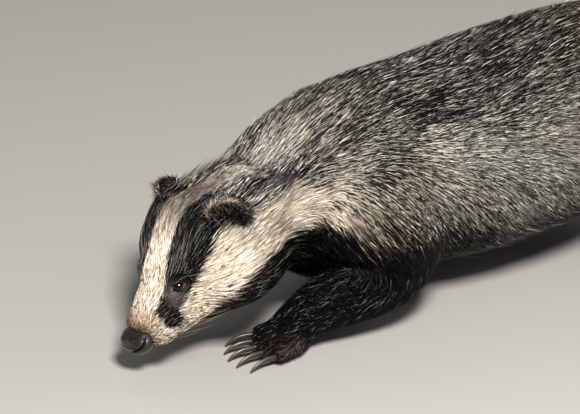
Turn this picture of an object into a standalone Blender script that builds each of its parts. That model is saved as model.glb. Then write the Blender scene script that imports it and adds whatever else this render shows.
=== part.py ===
"""A European badger at life size, standing low with its nose to the ground.

The badger faces -X with its left side to -Y, and its four soles rest on z = 0. The body is worked
as one piece of clay from lofted forms, and is then parted with thin cuts into the pieces that a
person would name. The script's unit is the metre.
"""

import math
import random
from collections import namedtuple

import bmesh
import bpy
from mathutils import Matrix, Vector
from mathutils.bvhtree import BVHTree

GAP = 0.0003  # what neighbouring pieces keep between them
Station = namedtuple("Station", "at wide rise drop")

# ---- The head: stations along its own axis, from the nose tip back ------------------------------
NOSE_TIP = Vector((0.0, -0.015, 0.031))
HEAD_PITCH = math.radians(38)  # nose down
HEAD_YAW = math.radians(7)  # nose to its left
HEAD_ROLL = math.radians(11)  # right side down
HEAD_SPLIT = 0.132  # where the head meets the neck, from the nose tip
HEAD_FORM = (
    # back from the nose, height of the widest line, half width, rise above it, drop below it
    (0.008, -0.001, 0.0150, 0.0115, 0.0125),
    (0.018, -0.001, 0.0205, 0.0155, 0.0185),
    (0.030, -0.002, 0.0245, 0.0195, 0.0230),
    (0.044, -0.003, 0.0290, 0.0250, 0.0280),
    (0.058, -0.004, 0.0375, 0.0335, 0.0335),
    (0.074, -0.005, 0.0500, 0.0412, 0.0405),
    (0.092, -0.006, 0.0595, 0.0490, 0.0475),
    (0.112, -0.005, 0.0610, 0.0470, 0.0520),
    (0.132, -0.003, 0.0530, 0.0350, 0.0500),
    (0.150, -0.002, 0.0430, 0.0240, 0.0440),
)
# Pads on the head's form: place and half sizes, the ones off the middle on both sides.
HEAD_PADS = (
    ((0.024, 0.0130, -0.0055), (0.020, 0.0115, 0.0110)),
    ((0.030, 0.0000, -0.0170), (0.022, 0.0125, 0.0085)),
    ((0.066, 0.0190, 0.0174), (0.022, 0.0122, 0.0103)),
    ((0.096, 0.0420, -0.0120), (0.034, 0.0190, 0.0280)),
    ((0.091, 0.0300, 0.0150), (0.032, 0.0180, 0.0190)),
)
EYE_AT = Vector((0.0512, 0.0225, 0.0134))
EYE_RADIUS = 0.0052
EYE_OUT = Vector((-0.50, 0.72, 0.46))  # where an eye looks, in the head's axes
EYE_WIDE, EYE_HIGH = 0.0051, 0.0039  # half sizes of the almond between the lids
LID = 0.0017
# The ears: place, half sizes, where the cup faces and where its top points. The right one is laid back.
Ear = namedtuple("Ear", "at size out top")
EARS = {
    -1: Ear((0.114, 0.0430, 0.0300), (0.0095, 0.0170, 0.0165), (-0.72, 0.62, 0.12), (0.3, 0.25, 1.0)),
    1: Ear((0.119, 0.0475, 0.0205), (0.0095, 0.0165, 0.0125), (-0.74, 0.55, -0.25), (0.1, 0.50, 1.0)),
}
EAR_WALL = 0.0030
NOSE_AT = Vector((0.0032, 0.0, -0.0007))
NOSE_SIZE = Vector((0.0127, 0.0172, 0.0117))
# The line of the mouth: back from the nose, and height.
MOUTH_LINE = (
    (0.013, -0.0135),
    (0.022, -0.0150),
    (0.034, -0.0160),
    (0.046, -0.0165),
    (0.056, -0.0145),
)
MOUTH_WIDE = 0.0010
LIP = 0.0017

# ---- The trunk, from inside the head to the root of the tail ------------------------------------
TRUNK_FORM = (
    Station(Vector((0.086, -0.006, 0.090)), 0.042, 0.024, 0.034),
    Station(Vector((0.112, -0.002, 0.102)), 0.056, 0.029, 0.049),
    Station(Vector((0.145, 0.001, 0.110)), 0.066, 0.040, 0.066),
    Station(Vector((0.190, 0.002, 0.112)), 0.082, 0.057, 0.081),
    Station(Vector((0.250, 0.000, 0.110)), 0.095, 0.071, 0.078),
    Station(Vector((0.320, 0.000, 0.109)), 0.102, 0.068, 0.076),
    Station(Vector((0.390, 0.000, 0.112)), 0.102, 0.069, 0.075),
    Station(Vector((0.460, 0.000, 0.117)), 0.095, 0.069, 0.070),
    Station(Vector((0.515, 0.000, 0.119)), 0.076, 0.062, 0.056),
    Station(Vector((0.548, 0.000, 0.120)), 0.052, 0.046, 0.044),
    Station(Vector((0.576, 0.000, 0.122)), 0.031, 0.028, 0.028),
)
NECK_SPLIT = Vector((0.165, 0.0, 0.130))
NECK_SPLIT_LEAN = math.radians(24)

# ---- The tail -----------------------------------------------------------------------------------
TAIL_FORM = (
    Station(Vector((0.530, 0.000, 0.128)), 0.030, 0.028, 0.028),
    Station(Vector((0.566, 0.000, 0.124)), 0.030, 0.027, 0.027),
    Station(Vector((0.598, 0.001, 0.108)), 0.030, 0.026, 0.026),
    Station(Vector((0.625, 0.003, 0.085)), 0.025, 0.022, 0.022),
    Station(Vector((0.643, 0.004, 0.061)), 0.013, 0.011, 0.011),
)
TAIL_SPLIT = 0.574

# ---- The legs, from the hidden top down to inside the paw; rise is to the front -----------------
LEG_FORMS = {
    "foreleg_left": (
        Station(Vector((0.185, -0.056, 0.120)), 0.034, 0.045, 0.048),
        Station(Vector((0.206, -0.066, 0.088)), 0.031, 0.044, 0.046),
        Station(Vector((0.204, -0.070, 0.060)), 0.027, 0.033, 0.035),
        Station(Vector((0.172, -0.062, 0.043)), 0.024, 0.022, 0.025),
        Station(Vector((0.142, -0.053, 0.032)), 0.020, 0.017, 0.018),
        Station(Vector((0.122, -0.047, 0.018)), 0.018, 0.013, 0.013),
    ),
    "foreleg_right": (
        Station(Vector((0.215, 0.056, 0.120)), 0.034, 0.045, 0.045),
        Station(Vector((0.254, 0.068, 0.088)), 0.030, 0.042, 0.042),
        Station(Vector((0.292, 0.073, 0.064)), 0.025, 0.032, 0.032),
        Station(Vector((0.304, 0.072, 0.047)), 0.021, 0.022, 0.022),
        Station(Vector((0.300, 0.070, 0.030)), 0.019, 0.018, 0.018),
        Station(Vector((0.294, 0.069, 0.017)), 0.017, 0.013, 0.013),
    ),
    "hindleg_left": (
        Station(Vector((0.462, -0.055, 0.120)), 0.034, 0.052, 0.046),
        Station(Vector((0.452, -0.070, 0.088)), 0.031, 0.047, 0.044),
        Station(Vector((0.466, -0.077, 0.063)), 0.026, 0.027, 0.033),
        Station(Vector((0.494, -0.077, 0.045)), 0.021, 0.019, 0.022),
        Station(Vector((0.506, -0.076, 0.028)), 0.018, 0.018, 0.017),
        Station(Vector((0.506, -0.076, 0.016)), 0.015, 0.014, 0.012),
    ),
    "hindleg_right": (
        Station(Vector((0.442, 0.055, 0.120)), 0.034, 0.052, 0.046),
        Station(Vector((0.417, 0.070, 0.088)), 0.031, 0.047, 0.044),
        Station(Vector((0.412, 0.078, 0.063)), 0.026, 0.027, 0.033),
        Station(Vector((0.431, 0.078, 0.045)), 0.021, 0.019, 0.022),
        Station(Vector((0.440, 0.077, 0.028)), 0.018, 0.018, 0.017),
        Station(Vector((0.440, 0.077, 0.016)), 0.015, 0.014, 0.012),
    ),
}
SLEEVE = 0.004  # how far a leg's piece reaches past its own form into the blend with the trunk
WRIST = 4  # the station where a leg ends and its paw starts

# ---- The paws: heel on the floor, turn of the toes from -X to -Y, and the sizes of each ---------
Paw = namedtuple("Paw", "heel turn length wide high claw")
PAWS = {
    "foreleg_left": Paw(Vector((0.139, -0.051, 0)), math.radians(-12), 0.047, 0.048, 0.027, 0.021),
    "foreleg_right": Paw(Vector((0.306, 0.070, 0)), math.radians(6), 0.047, 0.048, 0.027, 0.021),
    "hindleg_left": Paw(Vector((0.519, -0.076, 0)), math.radians(8), 0.066, 0.043, 0.026, 0.012),
    "hindleg_right": Paw(Vector((0.453, 0.077, 0)), math.radians(-8), 0.066, 0.043, 0.026, 0.012),
}
TOES = 5

# ---- The coat: flat locks that grow from the trunk, neck and tail -------------------------------
COAT = 0.006  # how far the trunk's core lies inside the outline that the locks make
LOCK_LENGTH = 0.066
LOCK_WIDE = 0.027
LOCK_THICK = 0.0030
# Shares of the length where a lock's sections lie, their shares of its width, and their heights.
LOCK_SECTIONS = ((0.0, 0.60, -0.0030), (0.32, 1.00, 0.0030), (0.68, 0.72, 0.0070), (1.0, 0.0, 0.0098))
LOCK_CLEAR = 0.0008  # what a lock keeps from every other piece
COAT_SEED = 11
Patch = namedtuple("Patch", "first last rows around low high length wide lift")
COAT_PATCHES = {
    # first and last station, rows, locks around, lowest and highest angle, shares of the lock's sizes
    "neck": Patch(1.15, 2.15, 3, 10, -30, 210, 0.60, 0.78, 0.6),
    "torso": Patch(2.75, 8.55, 11, 14, -40, 220, 0.92, 0.98, 1.0),
    "tail": Patch(1.25, 3.3, 3, 6, 0, 360, 0.66, 0.75, 0.8),
}

CLAY_VOXEL = 0.0030
PAW_VOXEL = 0.0014
SLEEVE_VOXEL = 0.0040
HEAD_TRIANGLES = 5400  # of the whole clay the head is cut from
BODY_TRIANGLES = 1900
PAW_TRIANGLES = 410
SLEEVE_TRIANGLES = 160

# ---- Materials: name, colour, roughness ---------------------------------------------------------
COLOURS = {
    "white_fur": ((0.62, 0.57, 0.48), 0.85),
    "grey_fur": ((0.26, 0.25, 0.22), 0.85),
    "black_fur": ((0.022, 0.020, 0.018), 0.80),
    "nose_skin": ((0.050, 0.030, 0.024), 0.45),
    "eye_glass": ((0.012, 0.009, 0.008), 0.08),
    "paw_skin": ((0.065, 0.048, 0.042), 0.70),
}

# The head's own axes: back from the nose, to the right, and up through the crown.
HEAD_TURN = (
    Matrix.Rotation(HEAD_YAW, 3, "Z")
    @ Matrix.Rotation(-HEAD_PITCH, 3, "Y")
    @ Matrix.Rotation(-HEAD_ROLL, 3, "X")
)
UP = Vector((0, 0, 1))


def clear_scene():
    for old in list(bpy.data.objects):
        bpy.data.objects.remove(old, do_unlink=True)


def on_head(place, side=1):
    """A place given back from the nose, out from the middle and up, in the badger's own frame."""
    return NOSE_TIP + HEAD_TURN @ Vector((place[0], side * place[1], place[2]))


def head_way(way, side=1):
    """A direction given in the head's axes, as a unit vector of the badger's frame."""
    return (HEAD_TURN @ Vector((way[0], side * way[1], way[2]))).normalized()


def axes(forward, roughly_up=UP):
    """A turn whose x axis is forward and whose z axis is as near as it can be to roughly_up."""
    x = forward.normalized()
    y = roughly_up.cross(x).normalized()
    return Matrix((x, y, x.cross(y))).transposed()


# ---- Meshes -------------------------------------------------------------------------------------
def mesh_object(name, points, faces):
    mesh = bpy.data.meshes.new(name)
    mesh.from_pydata([tuple(p) for p in points], [], faces)
    made = bpy.data.objects.new(name, mesh)
    bpy.context.scene.collection.objects.link(made)
    return made


def from_form(name, form):
    """An object from a bmesh, which is freed."""
    made = mesh_object(name, [], [])
    form.to_mesh(made.data)
    form.free()
    return made


def through(values, u):
    """The value at u on a smooth curve through values, which sit at 0, 1, 2 and so on."""
    last = len(values) - 1
    i = min(int(u), last - 1)
    f = u - i
    a, b, c, d = (values[max(0, min(last, i + k))] for k in (-1, 0, 1, 2))
    square = (2 * a - 5 * b + 4 * c - d) * f**2
    return 0.5 * (2 * b + (c - a) * f + square + (3 * b - a - 3 * c + d) * f**3)


def ring(centre, across, up, size, around, squareness):
    """Points of one cross-section, a rounded box between an ellipse (2) and a square."""
    wide, rise, drop = size
    points = []
    for k in range(around):
        angle = math.tau * k / around
        c, s = math.cos(angle), math.sin(angle)
        x = math.copysign(abs(c) ** (2 / squareness), c) * wide
        z = math.copysign(abs(s) ** (2 / squareness), s) * (rise if s > 0 else drop)
        points.append(centre + across * x + up * z)
    return points


def loft(name, stations, along, around, side, grow=0.0, squareness=2.2, dome=0.7, caps=3):
    """A closed round-ended tube through the stations, grown by a margin on every side."""
    n = len(stations) - 1
    places = [s.at for s in stations]
    sizes = [[s[k] + grow for s in stations] for k in (1, 2, 3)]

    def section(u, outward=0, angle=0.0):
        tangent = through(places, min(n, u + 0.02)) - through(places, max(0, u - 0.02))
        tangent.normalize()
        up = tangent.cross(side).normalized()
        size = [through(values, u) for values in sizes]
        centre = through(places, u) + tangent * (outward * dome * min(size) * math.sin(angle))
        size = [value * math.cos(angle) for value in size]
        return centre, ring(centre, up.cross(tangent), up, size, around, squareness)

    rounding = [0.5 * math.pi * k / (caps + 1) for k in range(caps, 0, -1)]
    rings = [section(0, -1, angle)[1] for angle in rounding]
    rings += [section(n * k / along)[1] for k in range(along + 1)]
    rings += [section(n, 1, angle)[1] for angle in reversed(rounding)]
    poles = [section(0, -1, math.pi / 2)[0], section(n, 1, math.pi / 2)[0]]
    points = [p for r in rings for p in r] + poles
    faces = []
    for r in range(len(rings) - 1):
        for k in range(around):
            a, b = r * around + k, r * around + (k + 1) % around
            faces.append((a, b, b + around, a + around))
    last = (len(rings) - 1) * around
    for k in range(around):
        faces.append((len(points) - 2, (k + 1) % around, k))
        faces.append((len(points) - 1, last + k, last + (k + 1) % around))
    return mesh_object(name, points, faces)


def ball(name, centre, size, turn=None, segments=16, rings=10, grow=0.0):
    """An ellipsoid with the given half sizes, turned by a 3 by 3 matrix."""
    form = bmesh.new()
    bmesh.ops.create_uvsphere(form, u_segments=segments, v_segments=rings, radius=1.0)
    scale = Matrix.Diagonal((size[0] + grow, size[1] + grow, size[2] + grow)).to_4x4()
    turned = (turn or Matrix.Identity(3)).to_4x4()
    bmesh.ops.transform(form, matrix=Matrix.Translation(centre) @ turned @ scale, verts=form.verts)
    return from_form(name, form)


def block(name, low, high, turn=None, at=Vector((0, 0, 0))):
    """A box between two corners in its own axes, turned and moved into place."""
    form = bmesh.new()
    bmesh.ops.create_cube(form, size=1.0)
    low, high = Vector(low), Vector(high)
    own = Matrix.Translation((low + high) / 2) @ Matrix.Diagonal(high - low).to_4x4()
    placed = Matrix.Translation(at) @ (turn or Matrix.Identity(3)).to_4x4()
    bmesh.ops.transform(form, matrix=placed @ own, verts=form.verts)
    return from_form(name, form)


def bake(made):
    """Applies an object's modifiers to its mesh."""
    graph = bpy.context.evaluated_depsgraph_get()
    mesh = bpy.data.meshes.new_from_object(made.evaluated_get(graph), depsgraph=graph)
    made.modifiers.clear()
    made.data = mesh
    return made


def tree_of(made):
    mesh = made.data
    return BVHTree.FromPolygons([v.co for v in mesh.vertices], [p.vertices for p in mesh.polygons])


def copy_of(source, name):
    made = bpy.data.objects.new(name, source.data.copy())
    bpy.context.scene.collection.objects.link(made)
    return made


def joined(name, pieces):
    """One object that holds the meshes of several, which are removed."""
    form = bmesh.new()
    for piece in pieces:
        form.from_mesh(piece.data)
        bpy.data.objects.remove(piece)
    return from_form(name, form)


def boolean(made, operation, others, solver="EXACT"):
    """Joins, cuts or crosses an object with others in one step, then removes them."""
    group = bpy.data.collections.new("cutters")
    bpy.context.scene.collection.children.link(group)
    for other in others:
        group.objects.link(other)
    step = made.modifiers.new("boolean", "BOOLEAN")
    step.operation = operation
    step.solver = solver
    step.operand_type = "COLLECTION"
    step.collection = group
    bake(made)
    for other in others:
        bpy.data.objects.remove(other)
    bpy.data.collections.remove(group)
    return largest(made)


def volume(shell):
    total = 0.0
    for face in shell:
        corners = [v.co for v in face.verts]
        for k in range(1, len(corners) - 1):
            total += corners[0].dot(corners[k].cross(corners[k + 1])) / 6
    return abs(total)


def largest(made):
    """Keeps only the closed surface with the most volume."""
    form = bmesh.new()
    form.from_mesh(made.data)
    left = set(form.faces)
    shells = []
    while left:
        seed = left.pop()
        shell, edge_of = {seed}, [seed]
        while edge_of:
            for edge in edge_of.pop().edges:
                for near in edge.link_faces:
                    if near in left:
                        left.discard(near)
                        shell.add(near)
                        edge_of.append(near)
        shells.append(shell)
    if len(shells) > 1:
        keep = max(shells, key=volume)
        drop = [f for shell in shells if shell is not keep for f in shell]
        bmesh.ops.delete(form, geom=drop, context="FACES")
    form.to_mesh(made.data)
    form.free()
    return made


# ---- The clay -----------------------------------------------------------------------------------
def head_loft():
    stations = [Station(on_head((back, 0, high)), *size) for back, high, *size in HEAD_FORM]
    return loft("head_form", stations, 30, 28, HEAD_TURN @ Vector((0, 1, 0)))


def leg_loft(key, grow=0.0):
    return loft("leg_form", LEG_FORMS[key], 18, 18, Vector((0, -1, 0)), grow, squareness=2.0)


def core_of(stations):
    """The trunk's stations drawn in by the depth of its locks, from the shoulders back."""
    made = []
    for s in stations:
        depth = COAT * min(1.0, max(0.0, (s.at.x - 0.112) / 0.060))
        made.append(Station(s.at, s.wide - depth, s.rise - depth, s.drop - depth))
    return made


def body_forms():
    across = Vector((0, 1, 0))
    forms = [head_loft()]
    for place, size in HEAD_PADS:
        for side in (-1, 1) if place[1] else (1,):
            forms.append(ball("pad", on_head(place, side), size, HEAD_TURN))
    forms.append(loft("trunk_form", core_of(TRUNK_FORM), 44, 36, across))
    forms.append(loft("tail_form", core_of(TAIL_FORM), 16, 18, across, squareness=2.0))
    return forms + [leg_loft(key) for key in LEG_FORMS]


def clay(name, forms, voxel, triangles):
    """The forms blended into one skin, at about the given number of triangles."""
    made = joined(name, forms)
    remesh = made.modifiers.new("blend", "REMESH")
    remesh.mode = "VOXEL"
    remesh.voxel_size = voxel
    smooth = made.modifiers.new("smooth", "SMOOTH")
    smooth.factor = 0.5
    smooth.iterations = 12
    bake(made)
    made.data.calc_loop_triangles()
    thin = made.modifiers.new("thin", "DECIMATE")
    thin.ratio = min(1.0, triangles / len(made.data.loop_triangles))
    thin.use_collapse_triangulate = True
    return bake(made)


# ---- Parting the clay ---------------------------------------------------------------------------
def sleeve(key, grow=0.0):
    """The space that a leg fills, up to its round top inside the trunk."""
    made = clay("cut", [leg_loft(key, SLEEVE)], SLEEVE_VOXEL, SLEEVE_TRIANGLES)
    push = made.modifiers.new("push", "DISPLACE")
    push.strength = grow
    push.mid_level = 0.0
    return bake(made)


def head_block(grow=0.0):
    high = (HEAD_SPLIT + grow, 0.09, 0.09)
    return block("cut", (-0.04, -0.09, -0.085), high, HEAD_TURN, NOSE_TIP)


def neck_block(grow=0.0):
    turn = Matrix.Rotation(NECK_SPLIT_LEAN, 3, "Y")
    return block("cut", (-0.12, -0.14, -0.12), (grow, 0.14, 0.12), turn, NECK_SPLIT)


def tail_block(grow=0.0):
    root = Vector((TAIL_SPLIT, 0, 0.140))
    return block("cut", (-grow, -0.06, -0.10), (0.12, 0.06, 0.06), None, root)


def wrist_block(key, grow=0.0):
    """The space a paw may fill: all that lies past the wrist, along the leg."""
    wrist = LEG_FORMS[key][WRIST].at
    forward = LEG_FORMS[key][WRIST + 1].at - wrist
    turn = axes(forward, Vector((-1, 0, 0)))
    return block("cut", (-grow, -0.05, -0.05), (0.12, 0.05, 0.09), turn, wrist)


def body_parts():
    """Cuts the clay into legs, neck, torso and tail, each a thin gap apart."""
    body = clay("torso", body_forms(), CLAY_VOXEL, BODY_TRIANGLES)
    legs = {}
    for key in LEG_FORMS:
        legs[key] = boolean(copy_of(body, key), "INTERSECT", [sleeve(key)])
        boolean(legs[key], "DIFFERENCE", [wrist_block(key, GAP)])
    for key in LEG_FORMS:
        boolean(body, "DIFFERENCE", [sleeve(key, GAP)])
    tail = boolean(copy_of(body, "tail"), "INTERSECT", [tail_block()])
    boolean(body, "DIFFERENCE", [tail_block(GAP)])
    boolean(body, "DIFFERENCE", [head_block(GAP)])
    neck = boolean(copy_of(body, "neck"), "INTERSECT", [neck_block()])
    boolean(body, "DIFFERENCE", [neck_block(GAP)])
    return [body, neck, tail], legs


# ---- The head -----------------------------------------------------------------------------------
def ear_turn(side):
    ear = EARS[side]
    return axes(head_way(ear.out, side), head_way(ear.top, side))


def ear_solid(side, grow=0.0):
    ear = EARS[side]
    return ball("ear", on_head(ear.at, side), ear.size, ear_turn(side), 14, 10, grow)


def ear_piece(side, name):
    """A round cup, thick at its root, that opens to the front and outwards."""
    made = ear_solid(side)
    made.name = name
    ear = EARS[side]
    inner = [size - EAR_WALL for size in ear.size]
    middle = on_head(ear.at, side) + head_way(ear.out, side) * 0.0075
    return boolean(made, "DIFFERENCE", [ball("cut", middle, inner, ear_turn(side))])


def nose_solid(grow=0.0):
    return ball("nose", on_head(NOSE_AT), NOSE_SIZE, HEAD_TURN, 16, 12, grow)


def nose_piece():
    """The bare pad with a nostril on each side, a slit that runs out from it, and the middle groove."""
    made = nose_solid()
    cutters = []
    for side in (-1, 1):
        hole = on_head(NOSE_AT + Vector((-0.0108, 0.0058, 0.0002)), side)
        turn = axes(head_way((1, 0.25, 0), side), head_way((0, -0.5, 1), side))
        cutters.append(ball("cut", hole, (0.0050, 0.0027, 0.0031), turn, 8, 6))
        slit = on_head(NOSE_AT + Vector((-0.0068, 0.0118, -0.0022)), side)
        turn = axes(head_way((0.75, 0.6, 0), side), head_way((0, 0, 1), side))
        cutters.append(ball("cut", slit, (0.0056, 0.0032, 0.0011), turn, 8, 6))
    front = on_head(NOSE_AT + Vector((-0.0110, 0, 0)))
    cutters.append(block("cut", (-0.0045, -0.0005, -0.016), (0.0012, 0.0005, -0.001), HEAD_TURN, front))
    return boolean(made, "DIFFERENCE", cutters)


def eye_ball(side, radius, name="eye"):
    turn = axes(head_way(EYE_OUT, side))
    return ball(name, on_head(EYE_AT, side), (radius, radius, radius), turn, 12, 9)


def eye_slit(side):
    """The almond between the lids: a lens-shaped bar that points the way the eye looks."""
    out = head_way(EYE_OUT, side)
    turn = axes(out, head_way((0.25, 0.1, 1), side))
    steps = 10
    rim = []
    for k in range(steps + 1):
        t = -1 + 2 * k / steps
        rim.append((EYE_WIDE * t, EYE_HIGH * (1 - t * t) ** 0.8))
    for k in range(steps - 1, 0, -1):
        t = -1 + 2 * k / steps
        rim.append((EYE_WIDE * t, -EYE_HIGH * 0.85 * (1 - t * t) ** 0.8))
    centre = on_head(EYE_AT, side)
    points = [centre + turn @ Vector((x, a, b)) for x in (0.0010, 0.0200) for a, b in rim]
    n = len(rim)
    faces = [tuple(range(n)), tuple(range(2 * n - 1, n - 1, -1))]
    faces += [(k + n, (k + 1) % n + n, (k + 1) % n, k) for k in range(n)]
    made = mesh_object("slit", points, faces)
    form = bmesh.new()
    form.from_mesh(made.data)
    bmesh.ops.recalc_face_normals(form, faces=form.faces)
    form.to_mesh(made.data)
    form.free()
    return made


def mouth_tube(surface, side, radius, lift):
    """A thin tube on the muzzle's side that follows the line of the mouth."""
    stations = []
    for back, height in MOUTH_LINE:
        start = on_head((back, 0, height + lift))
        hit = surface.ray_cast(start, head_way((0, 1, 0), side))[0]
        stations.append(Station(hit, radius, radius, radius))
    return loft("mouth", stations, 8, 6, head_way((0, 0, 1)), squareness=2.0, dome=0.9, caps=1)


def head_piece():
    """The skull's fur with its lids, the line of the mouth and places for eyes, ears and nose."""
    whole = clay("head", body_forms(), CLAY_VOXEL, HEAD_TRIANGLES)
    head = boolean(whole, "INTERSECT", [head_block()])
    surface = tree_of(head)
    sides = (-1, 1)
    lids = [eye_ball(side, EYE_RADIUS + LID, "lid") for side in sides]
    lips = [mouth_tube(surface, side, LIP, 0.0022) for side in sides]
    boolean(head, "UNION", lids + lips)
    boolean(head, "DIFFERENCE", [mouth_tube(surface, side, MOUTH_WIDE, 0.0) for side in sides])
    boolean(head, "DIFFERENCE", [eye_slit(side) for side in sides])
    boolean(head, "DIFFERENCE", [eye_ball(side, EYE_RADIUS + GAP) for side in sides])
    boolean(head, "DIFFERENCE", [ear_solid(side, GAP) for side in sides])
    return boolean(head, "DIFFERENCE", [nose_solid(GAP)])


# ---- The paws -----------------------------------------------------------------------------------
def paw_piece(key, name):
    """A palm, five toes and their claws, flat where they rest on the floor."""
    paw = PAWS[key]
    forward = Vector((-math.cos(paw.turn), -math.sin(paw.turn), 0))
    turn = axes(forward)
    across = turn @ Vector((0, 1, 0))

    def at(ahead, aside, high):
        return paw.heel + turn @ Vector((ahead, aside, high))

    half = Vector((0.44 * paw.length, 0.42 * paw.wide, 0.56 * paw.high))
    forms = [leg_loft(key), ball("palm", at(0.44 * paw.length, 0, 0.42 * paw.high), half, turn)]
    claws = []
    for k in range(TOES):
        spread = k - (TOES - 1) / 2
        reach = paw.length * (1.0 - 0.045 * spread * spread)
        thick = 0.135 * paw.wide
        root = at(0.45 * reach, spread * 0.165 * paw.wide, 0.36 * paw.high)
        knuckle = at(0.80 * reach, spread * 0.205 * paw.wide, 0.36 * paw.high)
        tip = at(reach - thick, spread * 0.215 * paw.wide, 0.24 * paw.high)
        toe = [Station(root, thick, thick, thick), Station(knuckle, thick, thick, thick)]
        toe.append(Station(tip, 0.9 * thick, 0.8 * thick, 0.8 * thick))
        forms.append(loft("toe", toe, 8, 10, across, squareness=2.0, dome=0.9))
        claw = [
            Station(at(reach - 1.2 * thick, spread * 0.215 * paw.wide, 0.0085), 0.0023, 0.0026, 0.0026),
            Station(at(reach + 0.35 * paw.claw, spread * 0.235 * paw.wide, 0.008), 0.0018, 0.0023, 0.0023),
            Station(at(reach + 0.75 * paw.claw, spread * 0.250 * paw.wide, 0.005), 0.0012, 0.0016, 0.0016),
            Station(at(reach + paw.claw, spread * 0.258 * paw.wide, 0.0016), 0.0006, 0.0007, 0.0007),
        ]
        claws.append(loft("claw", claw, 5, 6, across, squareness=2.0, caps=1))
    made = clay(name, forms, PAW_VOXEL, PAW_TRIANGLES)
    boolean(made, "INTERSECT", [wrist_block(key)])
    boolean(made, "UNION", claws)
    floor = block("floor", (-0.2, -0.2, -0.1), (0.2, 0.2, 0.0), None, paw.heel)
    return boolean(made, "DIFFERENCE", [floor])


# ---- The coat -----------------------------------------------------------------------------------
def lock(root, lie, skin, length, wide, lift, stray):
    """A flat, tapered lock that rises out of the skin, bends along its lie and ends in a point."""
    points = []
    for share, width, height in LOCK_SECTIONS:
        foot, normal, _, _ = skin.find_nearest(root + lie * (share * length))
        middle = foot + normal * (height * (lift if height > 0 else 1) + stray * share)
        side = normal.cross(lie).normalized() * (0.5 * wide * width)
        half = normal * (0.5 * LOCK_THICK)
        if width:
            points += [middle - side - half, middle + half, middle + side - half]
        else:
            points.append(middle)
    faces = [(0, 1, 2)]
    for r in (0, 3):
        faces += [(r + k, r + k + 3, r + (k + 1) % 3 + 3, r + (k + 1) % 3) for k in range(3)]
    faces += [(6 + k, 9, 6 + (k + 1) % 3) for k in range(3)]
    return points, faces


def clear_of(points, faces, others):
    """Whether a lock crosses no other piece and its points keep clear of all of them."""
    own = BVHTree.FromPolygons(points, faces)
    tested = points[3:] + [(points[k] + points[k + 3]) / 2 for k in range(3, 6)]
    for tree in others:
        if tree.overlap(own) or any(tree.find_nearest(point)[3] < LOCK_CLEAR for point in tested):
            return False
    return True


def combed(made, stations, patch, others, dice):
    """Adds a patch's locks to a piece, row by row and a half step aside from row to row."""
    skin = tree_of(made)
    trees = [tree_of(other) for other in others]
    places = [s.at for s in stations]
    locks = []
    for row in range(patch.rows):
        for k in range(patch.around):
            along = (row + dice.uniform(-0.16, 0.16)) / (patch.rows - 1)
            u = patch.first + (patch.last - patch.first) * along
            turn = (k + 0.5 * (row % 2) + 0.25 + dice.uniform(-0.12, 0.12)) / patch.around
            angle = math.radians(patch.low + (patch.high - patch.low) * turn)
            tangent = (through(places, u + 0.05) - through(places, u - 0.05)).normalized()
            up = tangent.cross(Vector((0, 1, 0))).normalized()
            out = (up.cross(tangent) * math.cos(angle) + up * math.sin(angle)).normalized()
            hit, normal, _, _ = skin.ray_cast(through(places, u) + out * 0.2, -out)
            if hit is None or normal.dot(out) < 0.5:
                continue
            down = Vector((0, 0, -1))
            aside = up.cross(tangent) * dice.uniform(-0.16, 0.16)
            lie = tangent + down * (0.30 * abs(math.cos(angle))) + aside
            lie = (lie - normal * lie.dot(normal)).normalized()
            length = LOCK_LENGTH * patch.length * dice.uniform(0.85, 1.15)
            wide = LOCK_WIDE * patch.wide * dice.uniform(0.85, 1.15)
            stray = dice.uniform(-0.0008, 0.0016)
            points, faces = lock(hit, lie, skin, length, wide, patch.lift, stray)
            if clear_of(points, faces, trees):
                locks.append(mesh_object("lock", points, faces))
    return boolean(made, "UNION", locks, "MANIFOLD")


# ---- Finishing ----------------------------------------------------------------------------------
def dress(made, colour):
    """Gives a piece its one material and rounds the light on its faces."""
    base, rough = COLOURS[colour]
    material = bpy.data.materials.get(colour)
    if material is None:
        material = bpy.data.materials.new(colour)
        material.use_nodes = True
        principled = material.node_tree.nodes["Principled BSDF"]
        principled.inputs["Base Color"].default_value = (*base, 1.0)
        principled.inputs["Roughness"].default_value = rough
        principled.inputs["Metallic"].default_value = 0.0
    made.data.materials.clear()
    made.data.materials.append(material)
    made.data.polygons.foreach_set("use_smooth", [True] * len(made.data.polygons))
    made.data.update()


def centre(pieces):
    """Moves all the pieces so that the box around them stands centred on the origin."""
    points = [v.co for piece in pieces for v in piece.data.vertices]
    middle = [(min(p[k] for p in points) + max(p[k] for p in points)) / 2 for k in (0, 1)]
    for piece in pieces:
        piece.data.transform(Matrix.Translation((-middle[0], -middle[1], 0)))


def main():
    clear_scene()
    trunk, legs = body_parts()
    for piece in trunk:
        dress(piece, "grey_fur")
    for leg in legs.values():
        dress(leg, "black_fur")
    head = head_piece()
    dress(head, "white_fur")
    nose = nose_piece()
    dress(nose, "nose_skin")
    pieces = trunk + list(legs.values()) + [head, nose]
    for side, name in ((-1, "left"), (1, "right")):
        eye = eye_ball(side, EYE_RADIUS, "eye_" + name)
        dress(eye, "eye_glass")
        ear = ear_piece(side, "ear_" + name)
        dress(ear, "black_fur")
        pieces += [eye, ear]
    for key in PAWS:
        paw = paw_piece(key, key.replace("leg", "paw"))
        dress(paw, "paw_skin")
        pieces.append(paw)
    dice = random.Random(COAT_SEED)
    body, neck, tail = trunk
    combed(neck, TRUNK_FORM, COAT_PATCHES["neck"], [p for p in pieces if p is not neck], dice)
    combed(body, TRUNK_FORM, COAT_PATCHES["torso"], [p for p in pieces if p is not body], dice)
    combed(tail, TAIL_FORM, COAT_PATCHES["tail"], [p for p in pieces if p is not tail], dice)
    centre(pieces)


main()
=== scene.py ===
"""The looks of a European badger that stands low with its nose to the ground, at life size."""

import math

import bmesh
import bpy
import numpy as np
from mathutils import Matrix, Vector
from mathutils.bvhtree import BVHTree


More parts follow.
